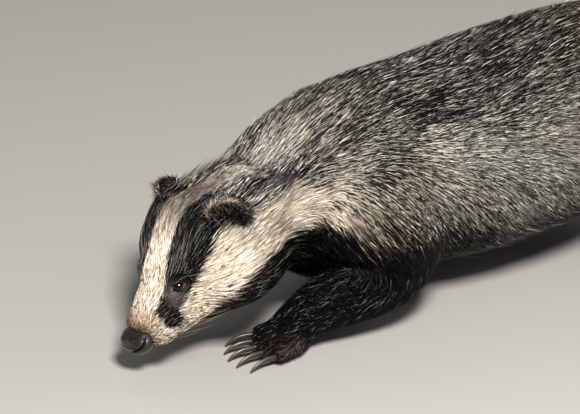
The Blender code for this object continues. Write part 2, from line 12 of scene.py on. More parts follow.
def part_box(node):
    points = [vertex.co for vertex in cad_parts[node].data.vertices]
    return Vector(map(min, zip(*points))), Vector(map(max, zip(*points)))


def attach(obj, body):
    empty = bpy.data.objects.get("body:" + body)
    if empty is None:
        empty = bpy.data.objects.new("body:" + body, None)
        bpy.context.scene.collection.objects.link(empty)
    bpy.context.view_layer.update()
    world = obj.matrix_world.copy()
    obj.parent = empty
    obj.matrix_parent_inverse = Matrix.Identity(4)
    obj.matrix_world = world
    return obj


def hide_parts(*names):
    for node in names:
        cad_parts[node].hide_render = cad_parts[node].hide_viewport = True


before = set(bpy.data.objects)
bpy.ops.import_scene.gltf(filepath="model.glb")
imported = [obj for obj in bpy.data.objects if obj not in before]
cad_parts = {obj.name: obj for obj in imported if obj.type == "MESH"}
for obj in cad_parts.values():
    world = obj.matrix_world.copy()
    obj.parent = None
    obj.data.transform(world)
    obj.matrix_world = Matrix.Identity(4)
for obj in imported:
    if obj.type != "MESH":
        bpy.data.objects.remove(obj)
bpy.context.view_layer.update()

# ---- The hide ------------------------------------------------------------------------------------
# A badger's thick, loose hide with its woolly underfur, from the muzzle to the tail and down to the
# toes. Rounded forms are lofted through stations, melted into one closed surface and worked over:
# sockets for the eyes, the line of the mouth, and an offset inwards by the depth of the coat.
NOSE_TIP = Vector((0.0, -0.015, 0.031))
HEAD_TURN = (
    Matrix.Rotation(math.radians(7), 3, "Z")
    @ Matrix.Rotation(math.radians(-38), 3, "Y")
    @ Matrix.Rotation(math.radians(-11), 3, "X")
)
HEAD_FORM = (
    # back from the nose, height of the widest line, half width, rise above it, drop below it
    (0.008, -0.001, 0.0150, 0.0115, 0.0125),
    (0.018, -0.001, 0.0205, 0.0155, 0.0185),
    (0.030, -0.002, 0.0245, 0.0195, 0.0230),
    (0.044, -0.003, 0.0290, 0.0250, 0.0280),
    (0.058, -0.004, 0.0375, 0.0335, 0.0335),
    (0.074, -0.005, 0.0500, 0.0412, 0.0405),
    (0.092, -0.006, 0.0595, 0.0490, 0.0475),
    (0.112, -0.005, 0.0610, 0.0470, 0.0520),
    (0.132, -0.003, 0.0530, 0.0350, 0.0500),
    (0.150, -0.002, 0.0430, 0.0240, 0.0440),
)
HEAD_PADS = (
    # place and half sizes of the muscle pads: whisker pads, chin, brows, cheeks and temples
    ((0.024, 0.0130, -0.0055), (0.020, 0.0115, 0.0110)),
    ((0.030, 0.0000, -0.0170), (0.022, 0.0125, 0.0085)),
    ((0.066, 0.0190, 0.0174), (0.022, 0.0122, 0.0103)),
    ((0.096, 0.0420, -0.0120), (0.034, 0.0190, 0.0280)),
    ((0.091, 0.0300, 0.0150), (0.032, 0.0180, 0.0190)),
)
TRUNK_FORM = (
    # place, half width, rise and drop, from inside the head to the root of the tail
    (0.086, -0.006, 0.090, 0.042, 0.024, 0.034),
    (0.112, -0.002, 0.102, 0.056, 0.029, 0.049),
    (0.145, 0.001, 0.110, 0.066, 0.040, 0.066),
    (0.190, 0.002, 0.112, 0.082, 0.057, 0.081),
    (0.250, 0.000, 0.110, 0.095, 0.071, 0.078),
    (0.320, 0.000, 0.109, 0.102, 0.068, 0.076),
    (0.390, 0.000, 0.112, 0.102, 0.069, 0.075),
    (0.460, 0.000, 0.117, 0.095, 0.069, 0.070),
    (0.515, 0.000, 0.119, 0.076, 0.062, 0.056),
    (0.548, 0.000, 0.120, 0.052, 0.046, 0.044),
    (0.576, 0.000, 0.122, 0.031, 0.028, 0.028),
)
TAIL_FORM = (
    (0.530, 0.000, 0.128, 0.030, 0.028, 0.028),
    (0.566, 0.000, 0.124, 0.030, 0.027, 0.027),
    (0.598, 0.001, 0.108, 0.030, 0.026, 0.026),
    (0.625, 0.003, 0.085, 0.025, 0.022, 0.022),
    (0.643, 0.004, 0.061, 0.013, 0.011, 0.011),
)
LEG_FORMS = {
    "foreleg_left": (
        (0.185, -0.056, 0.120, 0.034, 0.045, 0.048),
        (0.206, -0.066, 0.088, 0.031, 0.044, 0.046),
        (0.204, -0.070, 0.060, 0.027, 0.033, 0.035),
        (0.172, -0.062, 0.043, 0.024, 0.022, 0.025),
        (0.142, -0.053, 0.032, 0.020, 0.017, 0.018),
        (0.122, -0.047, 0.018, 0.018, 0.013, 0.013),
    ),
    "foreleg_right": (
        (0.215, 0.056, 0.120, 0.034, 0.045, 0.045),
        (0.254, 0.068, 0.088, 0.030, 0.042, 0.042),
        (0.292, 0.073, 0.064, 0.025, 0.032, 0.032),
        (0.304, 0.072, 0.047, 0.021, 0.022, 0.022),
        (0.300, 0.070, 0.030, 0.019, 0.018, 0.018),
        (0.294, 0.069, 0.017, 0.017, 0.013, 0.013),
    ),
    "hindleg_left": (
        (0.462, -0.055, 0.120, 0.034, 0.052, 0.046),
        (0.452, -0.070, 0.088, 0.031, 0.047, 0.044),
        (0.466, -0.077, 0.063, 0.026, 0.027, 0.033),
        (0.494, -0.077, 0.045, 0.021, 0.019, 0.022),
        (0.506, -0.076, 0.028, 0.018, 0.018, 0.017),
        (0.506, -0.076, 0.016, 0.015, 0.014, 0.012),
    ),
    "hindleg_right": (
        (0.442, 0.055, 0.120, 0.034, 0.052, 0.046),
        (0.417, 0.070, 0.088, 0.031, 0.047, 0.044),
        (0.412, 0.078, 0.063, 0.026, 0.027, 0.033),
        (0.431, 0.078, 0.045, 0.021, 0.019, 0.022),
        (0.440, 0.077, 0.028, 0.018, 0.018, 0.017),
        (0.440, 0.077, 0.016, 0.015, 0.014, 0.012),
    ),
}
PAWS = {
    # heel on the floor, turn of the toes in degrees, length, width, height and length of claw
    "foreleg_left": ((0.139, -0.051, 0), -12, 0.047, 0.048, 0.027, 0.021),
    "foreleg_right": ((0.306, 0.070, 0), 6, 0.047, 0.048, 0.027, 0.021),
    "hindleg_left": ((0.519, -0.076, 0), 8, 0.066, 0.043, 0.026, 0.012),
    "hindleg_right": ((0.453, 0.077, 0), -8, 0.066, 0.043, 0.026, 0.012),
}
EYE_AT = Vector((0.0512, 0.0225, 0.0134))
EYE_RADIUS = 0.0052
EYE_OUT = Vector((-0.50, 0.72, 0.46))
EYE_WIDE, EYE_HIGH = 0.0050, 0.0034  # half sizes of the almond between the lids
NOSE_AT, NOSE_SIZE = (0.0032, 0.0, -0.0007), (0.0125, 0.0170, 0.0115)
NOSE_FLAT = 0.80  # the nose pad's upper half is this much flatter
MOUTH_LINE = (
    # back from the nose, height of the line where the lips meet
    (0.013, -0.0135), (0.022, -0.0150), (0.034, -0.0160), (0.046, -0.0165), (0.056, -0.0145),
)
TRUNK_COAT = 0.006  # how far the hide lies inside the tips of the coat on the trunk and tail
HIDE_VOXEL = 0.0022
RUBS = 22
SOLE = 0.0002  # the height of the flats that the paws stand on
SIDES = ((-1, "left"), (1, "right"))

to_frame = (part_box("eye_left")[0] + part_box("eye_left")[1]) / 2
to_frame -= NOSE_TIP + HEAD_TURN @ Vector((EYE_AT.x, -EYE_AT.y, EYE_AT.z))
SHIFT = np.array(to_frame)
HEAD_AXES = np.array(HEAD_TURN)


def on_head(back, out, up, side=1):
    """A place given back from the nose, out from the middle and up, in the stations' coordinates."""
    return np.array(NOSE_TIP) + HEAD_AXES @ np.array((back, side * out, up), float)


def head_way(way, side=1):
    """A direction given in the head's axes, as a unit vector."""
    return unit(HEAD_AXES @ np.array((way[0], side * way[1], way[2]), float))


def unit(vectors):
    """The vectors at length 1."""
    return vectors / np.maximum(np.linalg.norm(vectors, axis=-1, keepdims=True), 1e-12)


def smooth(low, high, value):
    """0 below low, 1 above high and an S between them."""
    t = np.clip((value - low) / (high - low), 0, 1)
    return t * t * (3 - 2 * t)


def fade(low, high, value):
    """1 below low, 0 above high and an S between them."""
    return 1 - smooth(low, high, value)


def hump(value, width, centre=0.0):
    """1 at the centre, falling off on both sides as a bell of the given width."""
    return np.exp(-(((value - centre) / width) ** 2))


def read(table, value):
    """What a table of places and values gives at a place, on straight lines between its rows."""
    return np.interp(value, *zip(*table))


def along(rows, u):
    """Rows at the places u on a smooth curve through them, where they sit at 0, 1, 2 and so on."""
    last = len(rows) - 1
    i = np.minimum(u.astype(int), last - 1)
    f = (u - i)[:, None]
    a, b, c, d = (rows[np.clip(i + k, 0, last)] for k in (-1, 0, 1, 2))
    square, cube = 2 * a - 5 * b + 4 * c - d, 3 * b - a - 3 * c + d
    return 0.5 * (2 * b + (c - a) * f + square * f**2 + cube * f**3)


def ring_faces(rings, around, start=0):
    """The quads between rings of points that follow each other, the first of them at start."""
    faces = []
    for r in range(rings - 1):
        for k in range(around):
            a, b = start + r * around + k, start + r * around + (k + 1) % around
            faces.append((a, b, b + around, a + around))
    return faces


def closed_faces(rings, around):
    """The faces of rings between two poles, which are the first and the last point."""
    faces = ring_faces(rings, around, 1)
    last = 1 + (rings - 1) * around
    for k in range(around):
        faces.append((0, 1 + (k + 1) % around, 1 + k))
        faces.append((1 + rings * around, last + k, last + (k + 1) % around))
    return faces


def loft(rows, steps, around, side, squareness=2.2, dome=0.7, caps=3):
    """Points and faces of a closed, round-ended tube through stations of place and half sizes."""
    rows = np.array(rows, float)
    n = len(rows) - 1
    rounding = 0.5 * np.pi * np.arange(caps, 0, -1) / (caps + 1)
    u = np.concatenate([np.zeros(caps + 1), np.linspace(0, n, steps + 1), np.full(caps + 1, n)])
    tilt = [[-np.pi / 2], -rounding, np.zeros(steps + 1), rounding[::-1], [np.pi / 2]]
    tilt = np.concatenate(tilt)
    place, size = np.split(along(rows, u), [3], axis=1)
    ahead, behind = along(rows, np.minimum(n, u + 0.02)), along(rows, np.maximum(0, u - 0.02))
    tangent = unit((ahead - behind)[:, :3])
    up = unit(np.cross(tangent, side))
    across = np.cross(up, tangent)
    place = place + tangent * (dome * size.min(1) * np.sin(tilt))[:, None]
    size = size * np.cos(tilt)[:, None]
    turn = 2 * np.pi * np.arange(around) / around
    c, s = np.cos(turn), np.sin(turn)
    x = np.sign(c) * np.abs(c) ** (2 / squareness)
    z = np.sign(s) * np.abs(s) ** (2 / squareness)
    high = np.where(s > 0, size[:, 1:2], size[:, 2:3])
    rings = place[:, None] + across[:, None] * (size[:, :1] * x)[..., None]
    rings = rings + up[:, None] * (high * z)[..., None]
    points = np.concatenate([place[:1], rings[1:-1].reshape(-1, 3), place[-1:]])
    return points, closed_faces(len(rings) - 2, around)


def ball(centre, size, turn=None, segments=24, rows=16):
    """Points and faces of an ellipsoid whose axes are the columns of turn, its poles on the first."""
    turn = np.eye(3) if turn is None else np.array(turn)
    own = [[-size[0], 0, 0]]
    for a in np.pi * np.arange(1, rows) / rows:
        wide, high = size[1] * math.sin(a), size[2] * math.sin(a)
        for b in 2 * np.pi * np.arange(segments) / segments:
            own.append([-size[0] * math.cos(a), wide * math.cos(b), high * math.sin(b)])
    own.append([size[0], 0, 0])
    return np.array(centre) + np.array(own) @ turn.T, closed_faces(rows - 1, segments)


def add_object(name, data, material=None):
    """Puts a mesh, a lamp or a camera into the scene, a mesh with its material."""
    made = bpy.data.objects.new(name, data)
    bpy.context.scene.collection.objects.link(made)
    if material:
        data.materials.append(material)
    return made


def piece(name, shells, material=None):
    """One smooth mesh object, in the frame's coordinates, from shells of points and faces."""
    points, faces, start = [], [], 0
    for own_points, own_faces in shells:
        points.append(np.asarray(own_points) + SHIFT)
        faces += [tuple(start + i for i in face) for face in own_faces]
        start += len(own_points)
    mesh = bpy.data.meshes.new(name)
    mesh.from_pydata(np.concatenate(points).tolist(), [], faces)
    mesh.polygons.foreach_set("use_smooth", [True] * len(mesh.polygons))
    return add_object(name, mesh, material)


def fetch(items, field, width, kind=float):
    """One field of a mesh's vertices, edges or other items, a row for each."""
    values = np.empty(len(items) * width, kind)
    items.foreach_get(field, values)
    return values.reshape(-1, width)


def points_of(mesh):
    """A mesh's points, in the stations' coordinates, and its normals there."""
    return fetch(mesh.vertices, "co", 3) - SHIFT, fetch(mesh.vertex_normals, "vector", 3)


def move_to(mesh, places):
    """Sets a mesh's points, given in the stations' coordinates."""
    mesh.vertices.foreach_set("co", (places + SHIFT).ravel())
    mesh.update()


def cored(rows):
    """The stations drawn in by the depth of the coat, which grows from the nape to the shoulders."""
    rows = np.array(rows, float)
    depth = TRUNK_COAT * np.clip((rows[:, 0] - 0.070) / 0.060, 0, 1)
    rows[:, 3:] -= depth[:, None]
    return rows


def paw_frame(key):
    """A paw's heel, and its own axes: ahead, aside and up."""
    heel, turn = PAWS[key][:2]
    turn = math.radians(turn)
    ahead = np.array([-math.cos(turn), -math.sin(turn), 0])
    return np.array(heel, float), np.stack([ahead, np.cross([0, 0, 1], ahead), [0, 0, 1]], 1)


def toes_of(key):
    """For each of a paw's five toes, how far it lies from the middle one and how far it reaches."""
    return [(spread, PAWS[key][2] * (1.0 - 0.045 * spread * spread)) for spread in range(-2, 3)]


def paw_forms(key):
    """The palm and five toes of a paw."""
    _, _, length, wide, high, _ = PAWS[key]
    heel, turn = paw_frame(key)
    half = (0.44 * length, 0.42 * wide, 0.54 * high)
    shells = [ball(heel + turn @ (0.44 * length, 0, 0.42 * high), half, turn)]
    thick = 0.130 * wide
    for spread, reach in toes_of(key):
        rows = []
        for ahead, aside, up, a, b in (
            (0.45 * reach, 0.165, 0.36, 1.0, 1.0),
            (0.80 * reach, 0.208, 0.38, 1.0, 1.0),
            (reach - thick, 0.218, 0.25, 0.88, 0.80),
        ):
            spot = heel + turn @ (ahead, spread * aside * wide, up * high)
            rows.append((*spot, a * thick, b * thick, b * thick))
        shells.append(loft(rows, 8, 12, turn[:, 1], squareness=2.0, dome=0.9))
    return shells


HEAD_ROWS = [(*on_head(back, 0, height), *sizes) for back, height, *sizes in HEAD_FORM]
FORMS = {"head": HEAD_ROWS, "trunk": cored(TRUNK_FORM), "tail": cored(TAIL_FORM), **LEG_FORMS}
shells = [loft(HEAD_ROWS, 30, 28, HEAD_AXES[:, 1])]
for place, size in HEAD_PADS:
    for side in (-1, 1) if place[1] else (1,):
        shells.append(ball(on_head(*place, side), size, HEAD_AXES))
shells.append(loft(FORMS["trunk"], 44, 36, (0, 1, 0)))
shells.append(loft(FORMS["tail"], 16, 18, (0, 1, 0), squareness=2.0))
for key, rows in LEG_FORMS.items():
    shells.append(loft(rows, 18, 18, (0, -1, 0), squareness=2.0))
    shells += paw_forms(key)

hide = piece("hide", shells)
melt = hide.modifiers.new("melt", "REMESH")
melt.mode = "VOXEL"
melt.voxel_size = HIDE_VOXEL
graph = bpy.context.evaluated_depsgraph_get()
melted = bpy.data.meshes.new_from_object(hide.evaluated_get(graph), depsgraph=graph)
hide.modifiers.clear()
hide.data = melted


def in_head(places):
    """Places in the head's own axes: back, to the right, and up."""
    return (places - np.array(NOSE_TIP)) @ HEAD_AXES


def axis_of(rows, count=40):
    """Places, tangents and mean half sizes along a form."""
    rows = np.array(rows, float)
    u = np.linspace(0, len(rows) - 1, count)
    there = along(rows, u)
    ahead = along(rows, np.minimum(len(rows) - 1, u + 0.05))
    behind = along(rows, np.maximum(0, u - 0.05))
    half = (there[:, 3] + 0.5 * (there[:, 4] + there[:, 5])) / 2
    return there[:, :3], unit((ahead - behind)[:, :3]), half


AXES = {key: axis_of(rows) for key, rows in FORMS.items()}


def zones(places, soft=0.012):
    """For each place, every form's share in it, the way along the form and how far along it lies."""
    gaps, ways, shares = [], [], []
    for centre, tangent, half in AXES.values():
        square = (places**2).sum(1)[:, None] + (centre**2).sum(1) - 2 * places @ centre.T
        gap = np.sqrt(np.maximum(square, 0)) - half[None]
        nearest = gap.argmin(1)
        gaps.append(gap[np.arange(len(places)), nearest])
        ways.append(tangent[nearest])
        shares.append(nearest / (len(centre) - 1))
    gaps = np.stack(gaps, 1)
    weights = np.exp(-(gaps - gaps.min(1, keepdims=True)) / soft)
    return weights / weights.sum(1, keepdims=True), np.stack(ways, 1), np.stack(shares, 1)


# Melting leaves steps, which are rubbed down: hard on the trunk, gently on the muzzle and the toes.
places, _ = points_of(hide.data)
edges = fetch(hide.data.edges, "vertices", 2, int)
neighbours = np.bincount(edges.ravel(), minlength=len(places))[:, None]
toes = fade(0.020, 0.034, places[:, 2])
rub = 0.5 - 0.36 * toes - 0.22 * fade(0.03, 0.06, in_head(places)[:, 0]) * (1 - toes)
for _ in range(RUBS):
    sums = [
        np.bincount(edges[:, 0], places[edges[:, 1], k], len(places))
        + np.bincount(edges[:, 1], places[edges[:, 0], k], len(places))
        for k in range(3)
    ]
    places = places + rub[:, None] * (np.stack(sums, 1) / neighbours - places)
move_to(hide.data, places)

# The face needs a finer mesh than the body: twice as fine round the eyes, and again round the lips.
fine = bmesh.new()
fine.from_mesh(hide.data)
for rounds in range(2):
    near = set()
    for edge in fine.edges:
        middle = (edge.verts[0].co + edge.verts[1].co) / 2 - to_frame
        back, right, up = HEAD_TURN.transposed() @ (middle - NOSE_TIP)
        to_eyes = ((middle - Vector(on_head(*EYE_AT, side))).length for side, _ in SIDES)
        by_lip = back < 0.064 and -0.024 < up < -0.004 - 0.004 * rounds and abs(right) > 0.004
        by_front = back < 0.024 and up < 0
        if min(to_eyes) < 0.016 - 0.005 * rounds or by_lip or by_front:
            near.add(edge)
    bmesh.ops.subdivide_edges(fine, edges=list(near), cuts=1, use_grid_fill=True)
fine.to_mesh(hide.data)
fine.free()

places, normals = points_of(hide.data)
weights = zones(places)[0]
# The form of head and legs includes their short coat, so the skin lies a little inside it.
depth = (0.0011 + 0.0030 * smooth(0.095, 0.130, in_head(places)[:, 0])) * weights[:, 0]
depth += 0.0016 * weights[:, 3:].sum(1) * smooth(0.012, 0.04, places[:, 2])
places -= normals * depth[:, None]
own = in_head(places)
from_mouth = own[:, 2] - read(MOUTH_LINE, own[:, 0])
flank = smooth(0.25, 0.6, np.abs(normals @ HEAD_AXES[:, 1]))
window = smooth(0.006, 0.014, own[:, 0]) * fade(0.054, 0.060, own[:, 0]) * flank
crease = 0.0019 * hump(from_mouth, 0.0010)
lips = 0.0008 * hump(from_mouth, 0.0015, 0.0024) + 0.0006 * hump(from_mouth, 0.0013, -0.0022)
places += normals * ((lips - crease) * window)[:, None]
groove = 0.0009 * hump(own[:, 1], 0.0007) * fade(0.006, 0.010, own[:, 0]) * (own[:, 2] < -0.006)
places -= normals * groove[:, None]


def eye_axes(side):
    """Columns: out of the eye, along the slit to the rear corner, and across it."""
    out = head_way(EYE_OUT, side)
    rear = head_way((1.0, 0.42, 0.10), side)
    rear = unit(rear - out * (rear @ out))
    across = np.cross(out, rear)
    return np.stack([out, rear, across * np.sign(across @ HEAD_AXES[:, 2])], 1)


def by_eye(places, side):
    """Places in an eye's own axes, and how many times the almond's size they lie from its middle."""
    own = (places - on_head(*EYE_AT, side)) @ eye_axes(side)
    return own, np.sqrt((own[:, 1] / EYE_WIDE) ** 2 + (own[:, 2] / EYE_HIGH) ** 2)


for side, _ in SIDES:
    own, almond = by_eye(places, side)
    out = eye_axes(side)[:, 0]
    ahead = (own[:, 0] > -0.004) & (own[:, 0] < 0.012)
    pocket = fade(1.10, 1.45, almond) * ahead
    places += np.outer(pocket * (-0.0012 - own[:, 0]), out)
    ridge = hump(almond, 0.45, 2.0) * (own[:, 2] > 0) * ahead  # the brow's fold over the upper lid
    places += np.outer(ridge * 0.0009, out)
places[:, 2] = np.maximum(places[:, 2], SOLE)
move_to(hide.data, places)


def linear(code):
    """Linear colour from an sRGB hex code."""
    values = np.array([int(code[i : i + 2], 16) / 255 for i in (1, 3, 5)])
    return np.where(values <= 0.04045, values / 12.92, ((values + 0.055) / 1.055) ** 2.4)


HASH_PRIMES = np.array([73856093, 19349663, 83492791])


def grain(places, size, seed):
    """Smooth random values from -1 to 1 that change over about the given size."""
    scaled = places / size + seed * 7.31
    cell = np.floor(scaled).astype(np.int64)
    f = scaled - cell
    f = f * f * (3 - 2 * f)
    total = np.zeros(len(places))
    for corner in range(8):
        step = np.array([(corner >> k) & 1 for k in range(3)])
        spot = (cell + step) * HASH_PRIMES
        mixed = spot[:, 0] ^ spot[:, 1] ^ spot[:, 2]
        mixed = (mixed ^ (mixed >> 13)) * 1274126177 % 2**32
        mixed = (mixed ^ (mixed >> 16)) * 2246822519 % 2**32
        total += (mixed / 2.0**31 - 1) * np.prod(np.where(step, f, 1 - f), axis=1)
    return total


# The badger's markings: cream face with a black band through each eye and ear, black throat, chest,
# belly and legs, grizzled grey elsewhere. They are lines in the head's axes and on the trunk's side.
CREAM, TAN = linear("#d8ccba"), linear("#94745a")
BLACK, BROWN_BLACK = linear("#050505"), linear("#0e0b09")
PALE_GREY, DARK_GREY, BUFF = linear("#c0bbb0"), linear("#13120f"), linear("#bba98c")
DARK_BROWN = linear("#2a1f16")  # dark hairs of the rump
THIN_FUR = linear("#6f665f")  # greyish brown, where the skin shows through in front of the eye
BAND_INNER = (
    # back from the nose, half width of the pale stripe between the bands
    (0.000, 0.0155), (0.026, 0.0155), (0.046, 0.0150), (0.055, 0.0148), (0.064, 0.0135),
    (0.085, 0.0128), (0.106, 0.0135), (0.117, 0.0112), (0.129, 0.0095), (0.150, 0.0110),
    (0.200, 0.0180),
)
BAND_OUTER = (
    # back from the nose, angle from the crown of the band's lower edge
    (0.020, 82), (0.024, 92), (0.029, 103), (0.034, 96), (0.038, 78), (0.052, 70), (0.068, 63),
    (0.079, 59), (0.091, 55.5), (0.1005, 55.5), (0.107, 58), (0.115, 67), (0.124, 70), (0.132, 71),
    (0.143, 78), (0.151, 85), (0.164, 97), (0.177, 112),
)
CHEEK_LOWER = (
    # back from the nose, angle from the crown of the pale cheek's lower edge
    (0.000, 140), (0.040, 134), (0.050, 122), (0.060, 112), (0.065, 103), (0.074, 97), (0.087, 94.5),
    (0.098, 95.5), (0.110, 98), (0.120, 104), (0.140, 113), (0.160, 118), (0.175, 114),
)
SIDE_LINE = {
    # along the trunk, height of the black's upper edge, on the left side and on the right
    -1: (
        (0.073, 0.0876), (0.0845, 0.0946), (0.0928, 0.0995), (0.105, 0.1021), (0.1175, 0.1023),
        (0.1263, 0.1053), (0.1434, 0.1075), (0.1506, 0.1126), (0.1552, 0.1071), (0.1596, 0.1037),
        (0.1653, 0.0989), (0.1725, 0.0930), (0.180, 0.0871), (0.1874, 0.0826), (0.1952, 0.0780),
        (0.2040, 0.0718), (0.2143, 0.0652), (0.235, 0.058), (0.270, 0.052), (0.350, 0.048),
        (0.400, 0.058), (0.450, 0.084), (0.490, 0.080), (0.540, 0.070), (0.600, 0.060),
    ),
    1: (
        (0.073, 0.0876), (0.094, 0.0988), (0.1265, 0.1034), (0.147, 0.1107), (0.165, 0.1060),
        (0.190, 0.095), (0.230, 0.086), (0.280, 0.076), (0.320, 0.058), (0.350, 0.052),
        (0.385, 0.070), (0.420, 0.084), (0.460, 0.080), (0.520, 0.070), (0.600, 0.060),
    ),
}


def crown_stripe(back, right, inner, outer):
    """How far a place is on the dirty crown between the ears, with its edge from inner to outer."""
    span = smooth(0.070, 0.100, back) * fade(0.120, 0.150, back)
    return span * fade(inner, outer, np.abs(right))


def markings(places, normals):
    """Shares of white, black and grizzled fur, the colour of each, and how dark the grizzled is."""
    back, right, up = in_head(places).T
    ragged = grain(places, 0.007, 3) * 0.0013 + grain(places, 0.0025, 4) * 0.0006
    middle = right - 0.0035 * smooth(0.045, 0.075, back)
    inner, outer, cheek = read(BAND_INNER, back), read(BAND_OUTER, back), read(CHEEK_LOWER, back)
    angle = np.degrees(np.arctan2(np.abs(right), up + 0.004)) + ragged * 900
    stripe = smooth(-0.0014, 0.0014, inner + ragged - np.abs(middle)) * (angle < 100)
    band = smooth(-3, 3, outer - angle) * smooth(0.0195, 0.0235, back + ragged * 1.5) * (1 - stripe)
    jaw = smooth(-3, 3, angle - cheek)
    head = fade(0.118, 0.134, back)
    white = np.maximum(stripe, (1 - band) * (1 - jaw))
    x, y, z = places.T
    line = np.where(y < 0, read(SIDE_LINE[-1], x), read(SIDE_LINE[1], x))
    soft = 0.004 + 0.009 * smooth(0.150, 0.200, x)
    below = smooth(-1, 1, (line + ragged * 2.5 - z) / soft)
    neck_white = smooth(-4, 4, angle - outer) * fade(0.138, 0.186, x) * (1 - below)
    nape_white = stripe * (1 - 0.80 * smooth(0.110, 0.150, back)) * fade(0.160, 0.230, back)
    trunk_white = np.clip(neck_white + nape_white, 0, 1)
    white = white * head + trunk_white * (1 - head)
    black = (1 - white) * head + below * (1 - trunk_white) * (1 - head)
    grey = np.clip(1 - white - black, 0, 1)
    # Grizzled fur: the shares of its dark hairs, and how warm its pale ones are.
    top = smooth(0.58, 1.0, normals[:, 2]) * (0.38 + 0.62 * smooth(0.15, 0.25, x))
    tail = smooth(0.575, 0.625, x)
    low = fade(0.060, 0.095, z)
    elbow = hump(x, 0.060, 0.245) * fade(0.080, 0.125, z)
    shoulder = hump(x, 0.045, 0.185) * (1 - top)
    edge = np.exp(-np.clip(z - line, 0, 1) / 0.016) * smooth(0.155, 0.190, x)
    nape = smooth(0.120, 0.145, back) * fade(0.180, 0.250, back)
    trail = hump(np.abs(right), 0.014, 0.034) * nape  # where the black bands run out
    crest = hump(right, 0.013) * nape
    behind_ears = hump(back, 0.016, 0.142) * hump(np.abs(right), 0.018, 0.030) * (up > -0.005)
    dark = 0.11 + 0.62 * top + 0.48 * low + 0.42 * elbow - 0.20 * tail + 0.10 * grain(places, 0.030, 5)
    dark = dark + 0.30 * trail - 0.18 * crest + 0.30 * shoulder + 0.28 * edge + 0.12 * behind_ears
    dark = np.clip(dark, 0, 1)
    warm = 0.15 + 0.4 * shoulder + 0.4 * tail + 0.2 * low + 0.25 * grain(places, 0.045, 6)
    warm = np.clip(warm + 0.4 * smooth(0.38, 0.50, x), 0, 1)[:, None]
    pale = PALE_GREY * (1 - warm) + BUFF * warm
    # Cream fur: tanned on the muzzle and the crown, and brown next to the nose.
    crown = crown_stripe(back, right, 0.016, 0.024)[:, None]
    by_nose = fade(0.004, 0.018, back)[:, None]
    tan = 0.20 + 0.18 * grain(places, 0.018, 7)
    tan = tan + 0.5 * fade(0.012, 0.030, back) * smooth(-0.002, 0.012, up)
    tan = np.clip(tan[:, None] + 0.40 * crown + 0.35 * by_nose, 0, 0.95)
    cream = CREAM * (1 - tan) + TAN * tan
    cream = cream * (1 - crown * np.array([0.52, 0.48, 0.45])) * (1 - 0.50 * by_nose**2)
    # Black fur: brownish in patches, and thin in front of the eye.
    night = np.clip(0.3 + 0.3 * grain(places, 0.02, 8), 0, 1)[:, None]
    night = BLACK * (1 - night) + BROWN_BLACK * night
    thin = hump(back, 0.0065, 0.0445) * hump(np.abs(right), 0.006, 0.0205) * hump(up, 0.010, 0.012)
    thin = 0.75 * thin[:, None]
    night = night * (1 - thin) + THIN_FUR * thin
    shares = np.stack([white, black, grey], 1)
    shares = shares / np.maximum(shares.sum(1, keepdims=True), 1e-6)
    return shares, np.stack([cream, night, pale], 1), dark


def new_material(name):
    """An empty node material with its output and a Principled shader."""
    made = bpy.data.materials.new(name)
    made.use_nodes = True
    tree = made.node_tree
    tree.nodes.clear()
    shader = node(tree, "ShaderNodeBsdfPrincipled")
    node(tree, "ShaderNodeOutputMaterial", links={"Surface": shader.outputs["BSDF"]})
    return made, tree, shader


def node(tree, kind, settings=None, values=None, links=None):
    """Adds a node with its settings, its sockets' values and what is linked to them."""
    made = tree.nodes.new(kind)
    for key, value in (settings or {}).items():
        setattr(made, key, value)
    for key, value in (values or {}).items():
        made.inputs[key].default_value = value
    for key, source in (links or {}).items():
        tree.links.new(source, made.inputs[key])
    return made


def paint(mesh, name, values):
    """Stores a value, a vector or a colour at each point of a mesh."""
    if values.ndim == 1:
        values = np.c_[values, values, values]
    kind, field = ("FLOAT_COLOR", "color") if values.shape[1] == 4 else ("FLOAT_VECTOR", "vector")
    layer = mesh.attributes.new(name, kind, "POINT")
    layer.data.foreach_set(field, values.astype(np.float32).ravel())


# Underfur, matted and matt. Its colour is painted darker than the hairs' tips, as shade deep between the
# hairs.
places, normals = points_of(hide.data)
kinds, palette, dark = markings(places, normals)
colour, grey = (kinds[..., None] * palette).sum(1), kinds[:, 2]
paw_skin = fade(0.010, 0.024, places[:, 2]) * zones(places)[0][:, 3:].sum(1)
# Painted shade: the underfur is darkened, most of all under grizzled fur. Under white fur it turns to a
# dark tan, its own brown darkened by painted shade.
shade = 0.62 - 0.34 * grey
gap = (0.75 * kinds[:, 0])[:, None]
colour = colour * (1 - gap) + TAN * 0.55 * gap
colour = colour * shade[:, None] * (1 - paw_skin[:, None]) + linear("#4a3730") * paw_skin[:, None]
lip_skin = np.linalg.norm((in_head(places) - np.array(NOSE_AT)) / np.array(NOSE_SIZE), axis=1)
lip_skin = fade(1.05, 1.22, lip_skin)[:, None]
colour = colour * (1 - lip_skin) + linear("#3a2c22") * lip_skin
paint(hide.data, "coat", np.c_[colour, np.ones(len(colour))])
underfur, tree, shader = new_material("underfur_matted")
coat = node(tree, "ShaderNodeAttribute", {"attribute_name": "coat"})
spot = node(tree, "ShaderNodeTexCoord")
